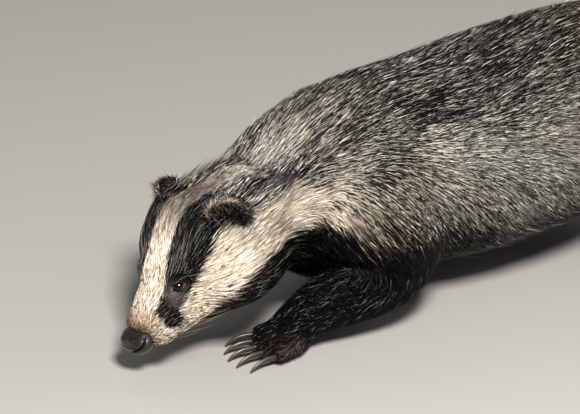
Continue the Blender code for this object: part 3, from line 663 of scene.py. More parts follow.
# Wisps of underfur about 2 mm across.
wisps = node(
    tree, "ShaderNodeTexNoise",
    values={"Scale": 480.0, "Detail": 3.0}, links={"Vector": spot.outputs["Object"]},
)
worn = node(
    tree, "ShaderNodeMapRange",
    values={"To Min": 0.65, "To Max": 1.25}, links={"Value": wisps.outputs["Fac"]},
)
TONED = {"data_type": "RGBA", "blend_type": "MULTIPLY"}  # a colour multiplied by a value
tint = node(
    tree, "ShaderNodeMix", TONED, {0: 1.0},
    {6: coat.outputs["Color"], 7: worn.outputs["Result"]},
)
relief = node(
    tree, "ShaderNodeBump",
    values={"Strength": 0.6, "Distance": 0.0008}, links={"Height": wisps.outputs["Fac"]},
)
tree.links.new(tint.outputs[2], shader.inputs["Base Color"])
tree.links.new(relief.outputs["Normal"], shader.inputs["Normal"])
shader.inputs["Roughness"].default_value = 0.85
shader.inputs["Specular IOR Level"].default_value = 0.2
hide.data.materials.clear()
hide.data.materials.append(underfur)
hide.data.polygons.foreach_set("use_smooth", [True] * len(hide.data.polygons))
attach(hide, "root")
legs = ("foreleg_left", "foreleg_right", "hindleg_left", "hindleg_right")
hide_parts("torso", "neck", "tail", "head", *legs, *(key.replace("leg", "paw") for key in legs))
hide_faces = [tuple(face.vertices) for face in hide.data.polygons]
hide_tree = BVHTree.FromPolygons(places.tolist(), hide_faces)

# ---- The eyes ------------------------------------------------------------------------------------
# Small dark eyes: a wet clear cornea over a nearly black iris, seen as one glossy bead. Each is a
# turned ball that bulges a little in front, set in its socket where the skull carries it.
eye_bead, tree, shader = new_material("eye_wet_cornea")
CORNEA_RISE, CORNEA_WIDE = 0.0004, 0.55  # how far it bulges, and over what angle in radians
LOOK_SPAN = 1.2  # the angle from the eye's axis over which its colours run
look = node(tree, "ShaderNodeAttribute", {"attribute_name": "look"})
rings = node(tree, "ShaderNodeValToRGB", links={"Fac": look.outputs["Fac"]})
stops = rings.color_ramp.elements
stops[0].position, stops[0].color = 0.00, (*linear("#020202"), 1)
stops[1].position, stops[1].color = 0.98, (*linear("#191512"), 1)
for at, code in ((0.40, "#020202"), (0.45, "#120d0a"), (0.74, "#0e0a08"), (0.80, "#060505")):
    stops.new(at).color = (*linear(code), 1)
tree.links.new(rings.outputs["Color"], shader.inputs["Base Color"])
shader.inputs["Roughness"].default_value = 0.04
shader.inputs["IOR"].default_value = 1.376
for side, name in SIDES:
    points, faces = ball(np.zeros(3), (EYE_RADIUS,) * 3, None, 40, 36)
    tilt = np.arccos(np.clip(points[:, 0] / EYE_RADIUS, -1, 1))
    points[:, 0] += CORNEA_RISE * hump(tilt, CORNEA_WIDE)
    points = on_head(*EYE_AT, side) + points @ eye_axes(side).T
    eye = piece("eyeball_" + name, [(points, faces)], eye_bead)
    paint(eye.data, "look", np.clip(tilt / LOOK_SPAN, 0, 1))
    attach(eye, "root")
    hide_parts("eye_" + name)

# The lids: black skin that hugs the eye with a rounded, moist edge and a fold above it. Each is a
# ring swept round the almond, thick at its edge, that runs out under the hide all round.
lid_skin, tree, shader = new_material("eyelid_moist_skin")
spot = node(tree, "ShaderNodeTexCoord")
# Skin creases about 0.7 mm apart.
folds = node(
    tree, "ShaderNodeTexNoise",
    values={"Scale": 1400.0, "Detail": 2.0}, links={"Vector": spot.outputs["Object"]},
)
tint = node(tree, "ShaderNodeValToRGB", links={"Fac": folds.outputs["Fac"]})
stops = tint.color_ramp.elements
stops[0].position, stops[0].color = 0.35, (*linear("#0f0d0b"), 1)
stops[1].position, stops[1].color = 0.70, (*linear("#38312b"), 1)
relief = node(
    tree, "ShaderNodeBump",
    values={"Strength": 0.4, "Distance": 0.0003}, links={"Height": folds.outputs["Fac"]},
)
tree.links.new(tint.outputs["Color"], shader.inputs["Base Color"])
tree.links.new(relief.outputs["Normal"], shader.inputs["Normal"])
shader.inputs["Roughness"].default_value = 0.38
LID_ROWS = (
    # share of the almond, height over the eyeball, share of the hide's own height
    (0.96, -0.0005, 0.0), (0.98, 0.0004, 0.0), (1.04, 0.0009, 0.0), (1.16, 0.0012, 0.05),
    (1.36, 0.0011, 0.2), (1.60, 0.0008, 0.5), (1.90, 0.0006, 0.85), (2.3, 0.0000, 1.0),
    (2.7, -0.0012, 1.0),
)
LID_STEPS = 56
for side, name in SIDES:
    turn = eye_axes(side)
    centre = on_head(*EYE_AT, side)
    points = []
    for share, over, to_hide in LID_ROWS:
        for k in range(LID_STEPS):
            t = 2 * math.pi * k / LID_STEPS
            wide = EYE_WIDE * share * math.cos(t)
            high = EYE_HIGH * share * math.sin(t) * (1.0 if math.sin(t) > 0 else 0.86)
            front = max(0.0, -math.cos(t)) ** 6  # the front corner draws out towards the nose
            wide -= 0.0016 * front * share
            high -= 0.0006 * front
            r = math.hypot(wide, high)
            on_ball = math.sqrt(EYE_RADIUS**2 - r * r) if r < EYE_RADIUS else -0.6 * (r - EYE_RADIUS)
            start = centre + turn @ (0.02, wide, high)
            hit = hide_tree.ray_cast(Vector(start), Vector(-turn[:, 0]), 0.04)[0]
            on_hide = (np.array(hit) - centre) @ turn[:, 0] if hit else 0.0
            level = (on_ball * (1 - to_hide) + on_hide * to_hide) + over
            points.append(centre + turn @ (level, wide, high))
    faces = ring_faces(len(LID_ROWS), LID_STEPS)
    if side > 0:
        faces = [(b, a, d, c) for a, b, c, d in faces]
    lid = piece("eyelids_" + name, [(points, faces)], lid_skin)
    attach(lid, "root")

# ---- The nose ------------------------------------------------------------------------------------
# The bare, moist nose pad, broad and rounded, with a comma-shaped nostril on each side and a groove
# down the middle. It is one ball, pushed in where the nostrils and the groove lie.
points, faces = ball(np.zeros(3), NOSE_SIZE, None, 120, 90)
direction = unit(points / np.array(NOSE_SIZE))


def by_way(way, reach):
    """1 where the pad faces this way, falling off over the reach, an angle in radians."""
    return np.exp(-(((1 - direction @ unit(np.array(way))) * 2) / reach**2))


depth = np.zeros(len(points))
inside = np.zeros(len(points))
for side, _ in SIDES:
    for t in np.linspace(0, 1, 14):
        ahead, up = 0.28 * t * t + 0.74 * t - 0.84, 0.20 * t * t + 0.38 * t - 0.02
        near = by_way((ahead, side * (0.44 + 1.40 * t - 1.04 * t * t), up), 0.150 * (1 - 0.62 * t))
        depth = np.maximum(depth, near * (0.0052 - 0.0036 * t))
        inside = np.maximum(inside, near)
front = smooth(0.1, 0.6, -direction[:, 0])
low = fade(-0.25, 0.15, direction[:, 2])
groove = hump(direction[:, 1], 0.035) * front * low
level = direction[:, 2] - 0.50 + 0.20 * np.abs(direction[:, 1])
fold = hump(level, 0.035) * front * (np.abs(direction[:, 1]) < 0.7)
below = smooth(0.0, 0.30, -level) * front
rims = hump(inside, 0.16, 0.22) * 0.0004
for side, _ in SIDES:
    rims += 0.0012 * by_way((-0.47, side * 0.37, 0.79), 0.20) * (1 - inside)
depth = depth + 0.0009 * groove + 0.0008 * fold + 0.0004 * below - rims
points = points - direction * depth[:, None]
cobbled = 0.00007 * grain(points, 0.0016, 9) + 0.0002 * grain(points, 0.0045, 10)
points += direction * cobbled[:, None]
points[:, 0] *= np.where(points[:, 0] < 0, 0.97, 1.0)
points[:, 2] *= np.where(points[:, 2] > 0, NOSE_FLAT, 1.0)
nose_leather, tree, shader = new_material("nose_bare_cobbled_skin")
spot = node(tree, "ShaderNodeTexCoord").outputs["Object"]
hollow_shade = node(tree, "ShaderNodeAttribute", {"attribute_name": "hollow_shade"})
# The skin is cobbled in rounded bumps about 0.9 mm across, and its tint changes over about 5 mm.
cobbles = node(tree, "ShaderNodeTexVoronoi", values={"Scale": 1100.0}, links={"Vector": spot})
raised = node(
    tree, "ShaderNodeMapRange",
    values={"From Max": 0.75, "To Min": 1.0, "To Max": 0.0},
    links={"Value": cobbles.outputs["Distance"]},
)
patches = node(
    tree, "ShaderNodeTexNoise", values={"Scale": 220.0, "Detail": 3.0}, links={"Vector": spot}
)
tint = node(tree, "ShaderNodeValToRGB", links={"Fac": patches.outputs["Fac"]})
stops = tint.color_ramp.elements
stops[0].position, stops[0].color = 0.34, (*linear("#090503"), 1)
stops[1].position, stops[1].color = 0.68, (*linear("#22140b"), 1)
# Painted shade: the skin is darkened in the nostrils and along the fold, and below the crease, where the
# darker lip skin also lies in painted shade.
shadow = node(
    tree, "ShaderNodeMapRange",
    values={"From Min": 0.25, "From Max": 0.8, "To Min": 1.0, "To Max": 0.06},
    links={"Value": hollow_shade.outputs["Fac"]},
)
tint = node(
    tree, "ShaderNodeMix", TONED, {0: 1.0},
    {6: tint.outputs["Color"], 7: shadow.outputs["Result"]},
)
relief = node(
    tree, "ShaderNodeBump",
    values={"Strength": 1.0, "Distance": 0.00022}, links={"Height": raised.outputs["Result"]},
)
tree.links.new(tint.outputs[2], shader.inputs["Base Color"])
tree.links.new(relief.outputs["Normal"], shader.inputs["Normal"])
shader.inputs["Roughness"].default_value = 0.36
shader.inputs["Specular IOR Level"].default_value = 0.3
shader.inputs["Coat Weight"].default_value = 0.6
shader.inputs["Coat Roughness"].default_value = 0.08
nose = piece("nose_pad", [(on_head(*NOSE_AT) + points @ HEAD_AXES.T, faces)], nose_leather)
# The nostrils, the fold and the skin below the crease carry painted shade in this attribute.
paint(nose.data, "hollow_shade", np.maximum(inside, 0.55 * below + 0.7 * fold))
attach(nose, "root")
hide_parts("nose")

# ---- The ears ------------------------------------------------------------------------------------
# Small round ears: a cup of gristle and thin dark skin, open to the front and outwards, with a
# rounded rim. Each is a shell turned from the back of the cup over the rim and down inside.
EARS = {
    # place, half sizes, where the cup faces and where its top points; the right one is laid back
    -1: ((0.114, 0.0430, 0.0300), (0.0090, 0.0165, 0.0160), (-0.72, 0.62, 0.12), (0.3, 0.25, 1.0)),
    1: ((0.119, 0.0475, 0.0205), (0.0090, 0.0160, 0.0120), (-0.74, 0.55, -0.25), (0.1, 0.50, 1.0)),
}
EAR_WALL = 0.0022
EAR_STEPS = 48
EAR_PROFILE = (
    # angle from the back of the cup, and the share of the wall's thickness inside the outer face
    *((a, 0.0) for a in (8, 24, 40, 56, 72, 86, 98, 108)),
    (114, 0.25), (116, 0.6), (113, 0.95),
    *((a, 1.0) for a in (104, 92, 78, 62, 46, 30, 14)),
)
ear_skin, tree, shader = new_material("ear_thin_dark_skin")
spot = node(tree, "ShaderNodeTexCoord")
# Fine down on the skin, about 1 mm long.
down = node(
    tree, "ShaderNodeTexNoise",
    values={"Scale": 900.0, "Detail": 3.0}, links={"Vector": spot.outputs["Object"]},
)
tint = node(tree, "ShaderNodeValToRGB", links={"Fac": down.outputs["Fac"]})
stops = tint.color_ramp.elements
stops[0].position, stops[0].color = 0.30, (*linear("#120f0d"), 1)
stops[1].position, stops[1].color = 0.75, (*linear("#3a2c26"), 1)
relief = node(
    tree, "ShaderNodeBump",
    values={"Strength": 0.5, "Distance": 0.0004}, links={"Height": down.outputs["Fac"]},
)
tree.links.new(tint.outputs["Color"], shader.inputs["Base Color"])
tree.links.new(relief.outputs["Normal"], shader.inputs["Normal"])
shader.inputs["Roughness"].default_value = 0.6
ears = {}
for side, name in SIDES:
    ear_at, ear_size, ear_out, ear_top = EARS[side]
    out, top = head_way(ear_out, side), head_way(ear_top, side)
    aside = unit(np.cross(top, out))
    turn = np.stack([out, aside, np.cross(out, aside)], 1)
    points = []
    for angle, inward in EAR_PROFILE:
        a = math.radians(angle)
        size = np.array(ear_size) - EAR_WALL * inward
        for k in range(EAR_STEPS):
            t = 2 * math.pi * k / EAR_STEPS
            tall = 1 + 0.07 * max(0.0, math.sin(t)) * smooth(50, 110, angle)
            curl = -0.0016 * max(0.0, math.cos(t)) ** 2 * smooth(80, 114, angle)
            own = (
                -size[0] * math.cos(a) + (0.0012 + 0.0034 * fade(20, 90, angle)) * inward,
                size[1] * math.sin(a) * math.cos(t) + curl,
                size[2] * math.sin(a) * math.sin(t) * tall,
            )
            points.append(on_head(*ear_at, side) + turn @ own)
    rows = len(EAR_PROFILE)
    faces = ring_faces(rows, EAR_STEPS)
    faces.append(tuple(reversed(range(EAR_STEPS))))
    faces.append(tuple((rows - 1) * EAR_STEPS + k for k in range(EAR_STEPS)))
    ear = piece("ear_cup_" + name, [(points, faces)], ear_skin)
    flip = bmesh.new()
    flip.from_mesh(ear.data)
    bmesh.ops.recalc_face_normals(flip, faces=flip.faces)
    flip.to_mesh(ear.data)
    flip.free()
    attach(ear, "root")
    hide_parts("ear_" + name)
    ears[side] = (turn, np.array(points).reshape(rows, EAR_STEPS, 3))

# ---- The claws -----------------------------------------------------------------------------------
# Horn claws, long and strong on the forefeet for digging and short behind, worn blunt and paler
# towards the tip. Each is a curved, narrow taper that grows out of its toe and rests by the floor.
claw_horn, tree, shader = new_material("claw_worn_horn")
spot = node(tree, "ShaderNodeTexCoord")
tipward = node(tree, "ShaderNodeAttribute", {"attribute_name": "reach"})
# Growth marks in the horn, about 1 mm apart.
marks = node(
    tree, "ShaderNodeTexNoise",
    values={"Scale": 900.0, "Detail": 2.0}, links={"Vector": spot.outputs["Object"]},
)
tint = node(tree, "ShaderNodeValToRGB", links={"Fac": tipward.outputs["Fac"]})
stops = tint.color_ramp.elements
stops[0].position, stops[0].color = 0.15, (*linear("#15100d"), 1)
stops[1].position, stops[1].color = 0.95, (*linear("#43382c"), 1)
worn = node(
    tree, "ShaderNodeMapRange",
    values={"To Min": 0.7, "To Max": 1.2}, links={"Value": marks.outputs["Fac"]},
)
tint = node(
    tree, "ShaderNodeMix", TONED, {0: 1.0},
    {6: tint.outputs["Color"], 7: worn.outputs["Result"]},
)
relief = node(
    tree, "ShaderNodeBump",
    values={"Strength": 0.3, "Distance": 0.0002}, links={"Height": marks.outputs["Fac"]},
)
tree.links.new(tint.outputs[2], shader.inputs["Base Color"])
tree.links.new(relief.outputs["Normal"], shader.inputs["Normal"])
shader.inputs["Roughness"].default_value = 0.38
shader.inputs["IOR"].default_value = 1.54
for key in PAWS:
    wide, claw = PAWS[key][3], PAWS[key][5]
    heel, turn = paw_frame(key)
    thick = 0.135 * wide
    claws, reaches = [], []
    for spread, reach in toes_of(key):
        rows = []
        for x, y, z, half, high in (
            (reach - 1.2 * thick, 0.215, 0.0085, 0.0023, 0.0026),
            (reach + 0.35 * claw, 0.235, 0.0082, 0.0017, 0.0023),
            (reach + 0.75 * claw, 0.250, 0.0054, 0.0012, 0.0016),
            (reach + 0.98 * claw, 0.258, 0.0017, 0.0006, 0.0008),
        ):
            rows.append((*(heel + turn @ (x, spread * y * wide, z)), half, high, high))
        points, faces = loft(rows, 18, 12, turn[:, 1], squareness=2.0, caps=2)
        claws.append((points, faces))
        ahead = (points - heel) @ turn[:, 0]
        reaches.append((ahead - ahead.min()) / (ahead.max() - ahead.min()))
    nails = piece("claws_" + key.replace("leg", "paw"), claws, claw_horn)
    paint(nails.data, "reach", np.concatenate(reaches))
    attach(nails, "root")

# ---- The coat ------------------------------------------------------------------------------------
# Guard hair: long and coarse on the trunk, each hair pale with a dark band below a pale tip, short
# and plain on face and legs. Every tuft is a thin, closed spindle, with a root in the hide, three
# points round its belly and a tip, that lies back along the body; the tufts overlap like thatch.
COAT_SEED = 7
FLOOR_CLEAR = 0.0004  # no hair reaches lower than this
dice = np.random.default_rng(COAT_SEED)

guard_hair, tree, shader = new_material("guard_hair_banded")
coat = node(tree, "ShaderNodeAttribute", {"attribute_name": "coat"}).outputs["Color"]
hair = node(tree, "ShaderNodeAttribute", {"attribute_name": "hair"}).outputs["Vector"]
band = node(tree, "ShaderNodeAttribute", {"attribute_name": "band"}).outputs["Vector"]
place = node(tree, "ShaderNodeSeparateXYZ", links={"Vector": hair}).outputs
ring = node(tree, "ShaderNodeSeparateXYZ", links={"Vector": band}).outputs
LESS, TIMES = {"operation": "SUBTRACT"}, {"operation": "MULTIPLY"}
EASED = {"interpolation_type": "SMOOTHSTEP"}  # it starts and ends softly
# The dark band: its start, its end along the hair and its strength come with each tuft.
past = node(tree, "ShaderNodeMath", LESS, links={0: place["X"], 1: ring["X"]})
into = node(
    tree, "ShaderNodeMapRange", EASED,
    {"From Min": -0.06, "From Max": 0.06}, {"Value": past.outputs[0]},
)
left = node(tree, "ShaderNodeMath", LESS, links={0: ring["Y"], 1: place["X"]})
out_of = node(
    tree, "ShaderNodeMapRange", EASED,
    {"From Min": -0.04, "From Max": 0.04}, {"Value": left.outputs[0]},
)
within = node(
    tree, "ShaderNodeMath", TIMES,
    links={0: into.outputs["Result"], 1: out_of.outputs["Result"]},
)
share = node(tree, "ShaderNodeMath", TIMES, links={0: within.outputs[0], 1: ring["Z"]})
banded = node(
    tree, "ShaderNodeMix", {"data_type": "RGBA"}, {7: (*DARK_GREY, 1)},
    {0: share.outputs[0], 6: coat},
)
# Each hair is painted darker towards its root, as shade deep in the coat, and fine streaks about 0.03 mm
# apart run along each tuft.
STREAK_CELLS = (1.2, 3.0, 40.0)  # along the tuft, across it and from tuft to tuft
drawn = node(tree, "ShaderNodeVectorMath", TIMES, {1: STREAK_CELLS}, {0: hair})
streaks = node(
    tree, "ShaderNodeTexNoise",
    values={"Scale": 2.4, "Detail": 2.0}, links={"Vector": drawn.outputs["Vector"]},
)
streaks = node(
    tree, "ShaderNodeMapRange",
    values={"From Min": 0.3, "From Max": 0.7, "To Min": 0.62, "To Max": 1.32},
    links={"Value": streaks.outputs["Fac"]},
)
root_shade = node(
    tree, "ShaderNodeMapRange",
    values={"From Max": 0.45, "To Min": 0.50, "To Max": 1.12}, links={"Value": place["X"]},
)
shade_and_streaks = node(
    tree, "ShaderNodeMath", TIMES,
    links={0: root_shade.outputs["Result"], 1: streaks.outputs["Result"]},
)
tint = node(
    tree, "ShaderNodeMix", TONED, {0: 1.0}, {6: banded.outputs[2], 7: shade_and_streaks.outputs[0]}
)
tree.links.new(tint.outputs[2], shader.inputs["Base Color"])
shader.inputs["IOR"].default_value = 1.55
# Black hair is sleek and glossy, pale hair is dry.
level = node(tree, "ShaderNodeRGBToBW", links={"Color": coat}).outputs["Val"]
gloss = node(
    tree, "ShaderNodeMapRange",
    values={"From Max": 0.30, "To Min": 0.24, "To Max": 0.55}, links={"Value": level},
)
tree.links.new(gloss.outputs["Result"], shader.inputs["Roughness"])
glint = node(
    tree, "ShaderNodeMapRange",
    values={"From Max": 0.10, "To Min": 0.17, "To Max": 0.20}, links={"Value": level},
)
uneven = node(
    tree, "ShaderNodeMapRange",
    values={"From Min": 0.45, "To Min": 0.5, "To Max": 2.4}, links={"Value": place["Z"]},
)
shine = node(
    tree, "ShaderNodeMath", TIMES,
    links={0: glint.outputs["Result"], 1: uneven.outputs["Result"]},
)
tree.links.new(shine.outputs[0], shader.inputs["Specular IOR Level"])

# Where along a tuft its belly lies, as a share of its length, and how high belly and tip stand.
TUFT_BELLY, BELLY_LIFT, TIP_LIFT = 0.40, 0.80, 1.12
ROOT_DEPTH = 0.0003
TUFT_HIGH = 0.28  # half a tuft's height, as a share of its width
TUFT_PATCH = (0.0015, 0.003)  # half width and length of a tuft on the unwrap
TUFT_FACES = ((0, 2, 1), (0, 3, 2), (0, 1, 3), (1, 2, 4), (2, 3, 4), (3, 1, 4))


def tufts(name, root, normal, lie, length, width, lift, sway, colour, band, patch, tree=None):
    """One mesh of closed tufts: a root, three points round the belly, and a tip.

    The patch is each root's place on the hide's unwrap. With a tree, the tufts follow its surface.
    """
    count = len(root)
    points = np.empty((count, 5, 3))
    luck = dice.random(count)
    beside = unit(np.cross(normal, lie))
    points[:, 0] = root - normal * ROOT_DEPTH
    for share, rise in ((TUFT_BELLY, BELLY_LIFT), (1.0, TIP_LIFT)):
        foot = root + lie * (length * share)[:, None]
        foot = foot + beside * (length * sway * share * share)[:, None]
        up = normal
        if tree is not None:
            found = [tree.find_nearest(p) for p in foot.tolist()]
            foot = np.array([f[0] for f in found])
            up = unit(np.array([f[1] for f in found]) * 0.7 + normal * 0.3)
        middle = foot + up * (lift * rise)[:, None]
        if share == 1.0:
            points[:, 4] = middle
        else:
            half, high = beside * (0.5 * width)[:, None], up * (TUFT_HIGH * width)[:, None]
            points[:, 1:4] = np.stack([middle - half - high, middle + high, middle + half - high], 1)
    points[..., 2] = np.maximum(points[..., 2], FLOOR_CLEAR)
    shares = np.array([0.0, TUFT_BELLY, TUFT_BELLY, TUFT_BELLY, 1.0])
    across = np.array([0.0, -1.0, 0.0, 1.0, 0.0])
    hair = np.stack(np.broadcast_arrays(shares, across, luck[:, None]), 2)
    uv = patch[:, None] + np.stack([TUFT_PATCH[0] * across, TUFT_PATCH[1] * (shares - 0.5)], 1)
    loops = (np.array(TUFT_FACES).ravel() + 5 * np.arange(count)[:, None]).ravel()
    mesh = bpy.data.meshes.new(name)
    mesh.vertices.add(count * 5)
    mesh.loops.add(len(loops))
    mesh.polygons.add(count * 6)
    mesh.vertices.foreach_set("co", (points + SHIFT).ravel())
    mesh.loops.foreach_set("vertex_index", loops)
    mesh.polygons.foreach_set("loop_start", np.arange(count * 6) * 3)
    mesh.update(calc_edges=True)
    mesh.polygons.foreach_set("use_smooth", [True] * (count * 6))
    layer = mesh.uv_layers.new(name="OFBake")
    layer.uv.foreach_set("vector", uv.reshape(-1, 2)[loops].astype(np.float32).ravel())
    paint(mesh, "coat", np.repeat(np.c_[colour, np.ones(count)], 5, axis=0))
    paint(mesh, "hair", hair.reshape(-1, 3))
    paint(mesh, "band", np.repeat(band, 5, axis=0))
    made = add_object(name, mesh, guard_hair)
    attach(made, "root")
    return made


def blend(weights, head, trunk, tail, legs):
    """Mixes what head, trunk, tail and legs ask for by the forms' shares."""
    body = weights[:, 0] * head + weights[:, 1] * trunk + weights[:, 2] * tail
    return body + weights[:, 3:].sum(1) * legs


# Roots are strewn over the hide, as many to each face as its area and the coat's density there ask.
hide.data.calc_loop_triangles()
corners = fetch(hide.data.loop_triangles, "vertices", 3, int)
places, normals = points_of(hide.data)
a, b, c = (places[corners[:, k]] for k in range(3))
middle = (a + b + c) / 3
facing = np.cross(b - a, c - a)
area = 0.5 * np.linalg.norm(facing, axis=1)
facing = unit(facing)
own = in_head(middle)
# Tufts for each square centimetre.
head_density = np.interp(own[:, 0], (0, 0.03, 0.06, 0.10, 0.15), (320, 270, 215, 150, 110))
trunk_density = np.interp(middle[:, 0], (0.10, 0.18, 0.30, 0.60), (110, 96, 92, 80))
trunk_density = trunk_density * (1 - 0.55 * smooth(0.3, 0.8, -facing[:, 2]))
leg_density = np.interp(middle[:, 2], (0.0, 0.02, 0.05, 0.09), (74, 74, 60, 46))
density = blend(zones(middle)[0], head_density, trunk_density, 70, leg_density) * 1e4
# Lips, lids, nose pad and soles are bare.
lip = (own[:, 0] < 0.058) & (np.abs(own[:, 2] - read(MOUTH_LINE, own[:, 0])) < 0.0011)
density[lip & (np.abs(facing @ HEAD_AXES[:, 1]) > 0.3)] = 0
for side, _ in SIDES:
    near, almond = by_eye(middle, side)
    density[(almond < 1.75) & (np.abs(near[:, 0]) < 0.012)] = 0
by_pad = ((middle - on_head(*NOSE_AT)) @ HEAD_AXES) / np.array(NOSE_SIZE)
by_pad[:, 2] /= np.where(by_pad[:, 2] > 0, NOSE_FLAT, 1.0)
density[np.linalg.norm(by_pad, axis=1) < 0.93] = 0
density[(middle[:, 2] < 0.004) | ((middle[:, 2] < 0.010) & (facing[:, 2] < -0.3))] = 0
expected = np.cumsum(area * density)
count = int(expected[-1])
picked = np.searchsorted(expected, (np.arange(count) + dice.random(count)) * expected[-1] / count)
picked = corners[np.minimum(picked, len(corners) - 1)]
u, v = dice.random(count), dice.random(count)
over = u + v > 1
u[over], v[over] = 1 - u[over], 1 - v[over]
mix = np.stack([1 - u - v, u, v], 1)[..., None]
root = (places[picked] * mix).sum(1)
normal = unit((normals[picked] * mix).sum(1))

# The lie of the coat: back along head and trunk, down the flanks and along the legs to the toes.
weights, ways, shares = zones(root, 0.016)
fall = np.interp(normal[:, 2], (-0.8, -0.2, 0.3, 0.7, 1.0), (0.75, 0.95, 0.55, 0.22, 0.0))
ways[:, 0] = head_way((1, 0, 0)) + np.array([0, 0, -0.22])
ways[:, 1] += np.outer(fall, (0, 0, -1))
lie = (weights[..., None] * ways).sum(1)
calm = (1 - 0.72 * weights[:, 0])[:, None]
lie += 0.16 * calm * np.stack([grain(root, 0.012, 20 + k) for k in range(3)], 1)
lie += 0.08 * calm * dice.normal(size=(count, 3))
chest = weights[:, 1] * smooth(0.1, 0.7, -normal[:, 2]) * fade(0.24, 0.30, root[:, 0])
lie += np.outer(0.5 * chest, (0, 0, -1))
pressed = 0.85 * (lie * normal).sum(1) * (1 - 0.5 * chest)  # how far a tuft is pressed to the hide
lie = unit(lie - normal * pressed[:, None])

# Length, width, lift off the hide and sway.
own = in_head(root)
flank = smooth(0.35, 0.85, np.abs(own[:, 1]) / 0.06)
low = fade(0.050, 0.080, root[:, 2])
head_length = (0.0034, 0.0052, 0.0085, 0.0125, 0.018, 0.022)
head_length = np.interp(own[:, 0], (0, 0.02, 0.05, 0.09, 0.13, 0.16), head_length)
head_length = head_length * (1 + 0.65 * flank * smooth(0.03, 0.07, own[:, 0]))
trunk_length = (0.016, 0.021, 0.027, 0.032, 0.034)
trunk_length = np.interp(root[:, 0], (0.10, 0.16, 0.24, 0.40, 0.56), trunk_length)
trunk_length *= 1 + 0.50 * low + 0.25 * chest
leg_length = np.interp(root[:, 2], (0.0, 0.02, 0.04, 0.08, 0.11), (0.004, 0.006, 0.010, 0.018, 0.026))
length = blend(weights, head_length, trunk_length, 0.040, leg_length) * dice.uniform(0.75, 1.2, count)
width = (0.00034, 0.00040, 0.00044, 0.00046, 0.0006)
width = np.interp(length, (0.003, 0.008, 0.015, 0.030, 0.040), width) * dice.uniform(0.75, 1.25, count)
trunk_lift = (0.0058 * smooth(0.08, 0.19, root[:, 0]) + 0.0016) * (1 + 0.45 * low)
trunk_lift *= 1 - 0.40 * smooth(0.6, 0.95, normal[:, 2]) * hump(root[:, 0], 0.050, 0.250)
lift = blend(weights, 0.0008 + 0.10 * head_length, trunk_lift, 0.0070, 0.0006 + 0.14 * leg_length)
lift *= dice.uniform(0.50, 1.25, count)
behind_ear = hump(own[:, 0], 0.026, 0.118) * hump(own[:, 1], 0.016, 0.042)
behind_ear += hump(own[:, 0], 0.014, 0.134) * hump(own[:, 1], 0.016, -0.036)
behind_ear *= own[:, 2] > 0
lift += 0.0095 * behind_ear * dice.random(count) ** 3
length = length * (1 + 0.35 * behind_ear)
stray = dice.random(count) < 0.02
lift[stray] *= 1.35
sway = dice.normal(0, 0.05, count) * (1 - 0.6 * weights[:, 0])

# A tuft takes the colour of the place where it shows. On the grizzled trunk it is wholly pale, wholly
# dark or banded, and like tufts gather in streaks along the body.
shown = root + lie * (0.55 * length)[:, None] + 0.0006 * dice.normal(size=(count, 3))
kinds, palette, dark = markings(shown, normal)
kind = np.minimum((np.cumsum(kinds, axis=1) < dice.random((count, 1))).sum(1), 2)
colour = palette[np.arange(count), kind]
streak = grain(root * np.array([0.16, 1, 1]), 0.0030, 30)
pick = dice.random(count) + 0.10 * streak
tone = (0.22 + 0.12 * weights[:, 0]) * dice.normal(size=count)
tone = np.exp(tone + 0.10 * grain(root * np.array([0.35, 1, 1]), 0.010, 31))[:, None]
colour = colour * tone
white_hair, black_hair, grizzled = kind == 0, kind == 1, kind == 2
night_hair = grizzled & (pick < dark)
brown = (0.8 * smooth(0.36, 0.48, root[:, 0]))[:, None]
colour[night_hair] = (DARK_GREY * (1 - brown) + DARK_BROWN * brown)[night_hair]
crown = crown_stripe(own[:, 0], own[:, 1], 0.018, 0.026) * white_hair
by_nose = fade(0.004, 0.016, own[:, 0])
# Darkened hairs: soiled on the crown and next to the nose, and on the face they are also painted shade,
# dark lines where the gaps between pale hairs lie.
soiled_and_gap_shade = dice.random(count) < 0.06 + 0.12 * weights[:, 0] + 0.34 * crown + 0.75 * by_nose
soiled_and_gap_shade &= ~black_hair
colour[soiled_and_gap_shade] *= np.array([0.34, 0.29, 0.25])
# Grey hairs among the black: partly real grey hairs and partly painted glints, standing in for the sheen
# of light on black fur, most of all in the band by the eye.
near_eye = hump(own[:, 0], 0.014, 0.054) * hump(np.abs(own[:, 1]), 0.010, 0.022)
worn = (dice.random(count) < 0.05 + 0.04 * weights[:, 0] + 0.14 * near_eye) & black_hair
colour[worn] = linear("#716d66") * tone[worn]
width[worn] *= 0.75
apart = (soiled_and_gap_shade | worn) & (weights[:, 0] > 0.5)
lift[apart] += 0.0003
width[apart] *= 0.75
length[apart] *= 1.25
strength = grizzled * np.where(dice.random(count) < 0.70, 1.0, 0.10)
start = dice.uniform(0.40, 0.75, count)
band = np.stack([start, start + dice.uniform(0.12, 0.24, count), strength], 1)

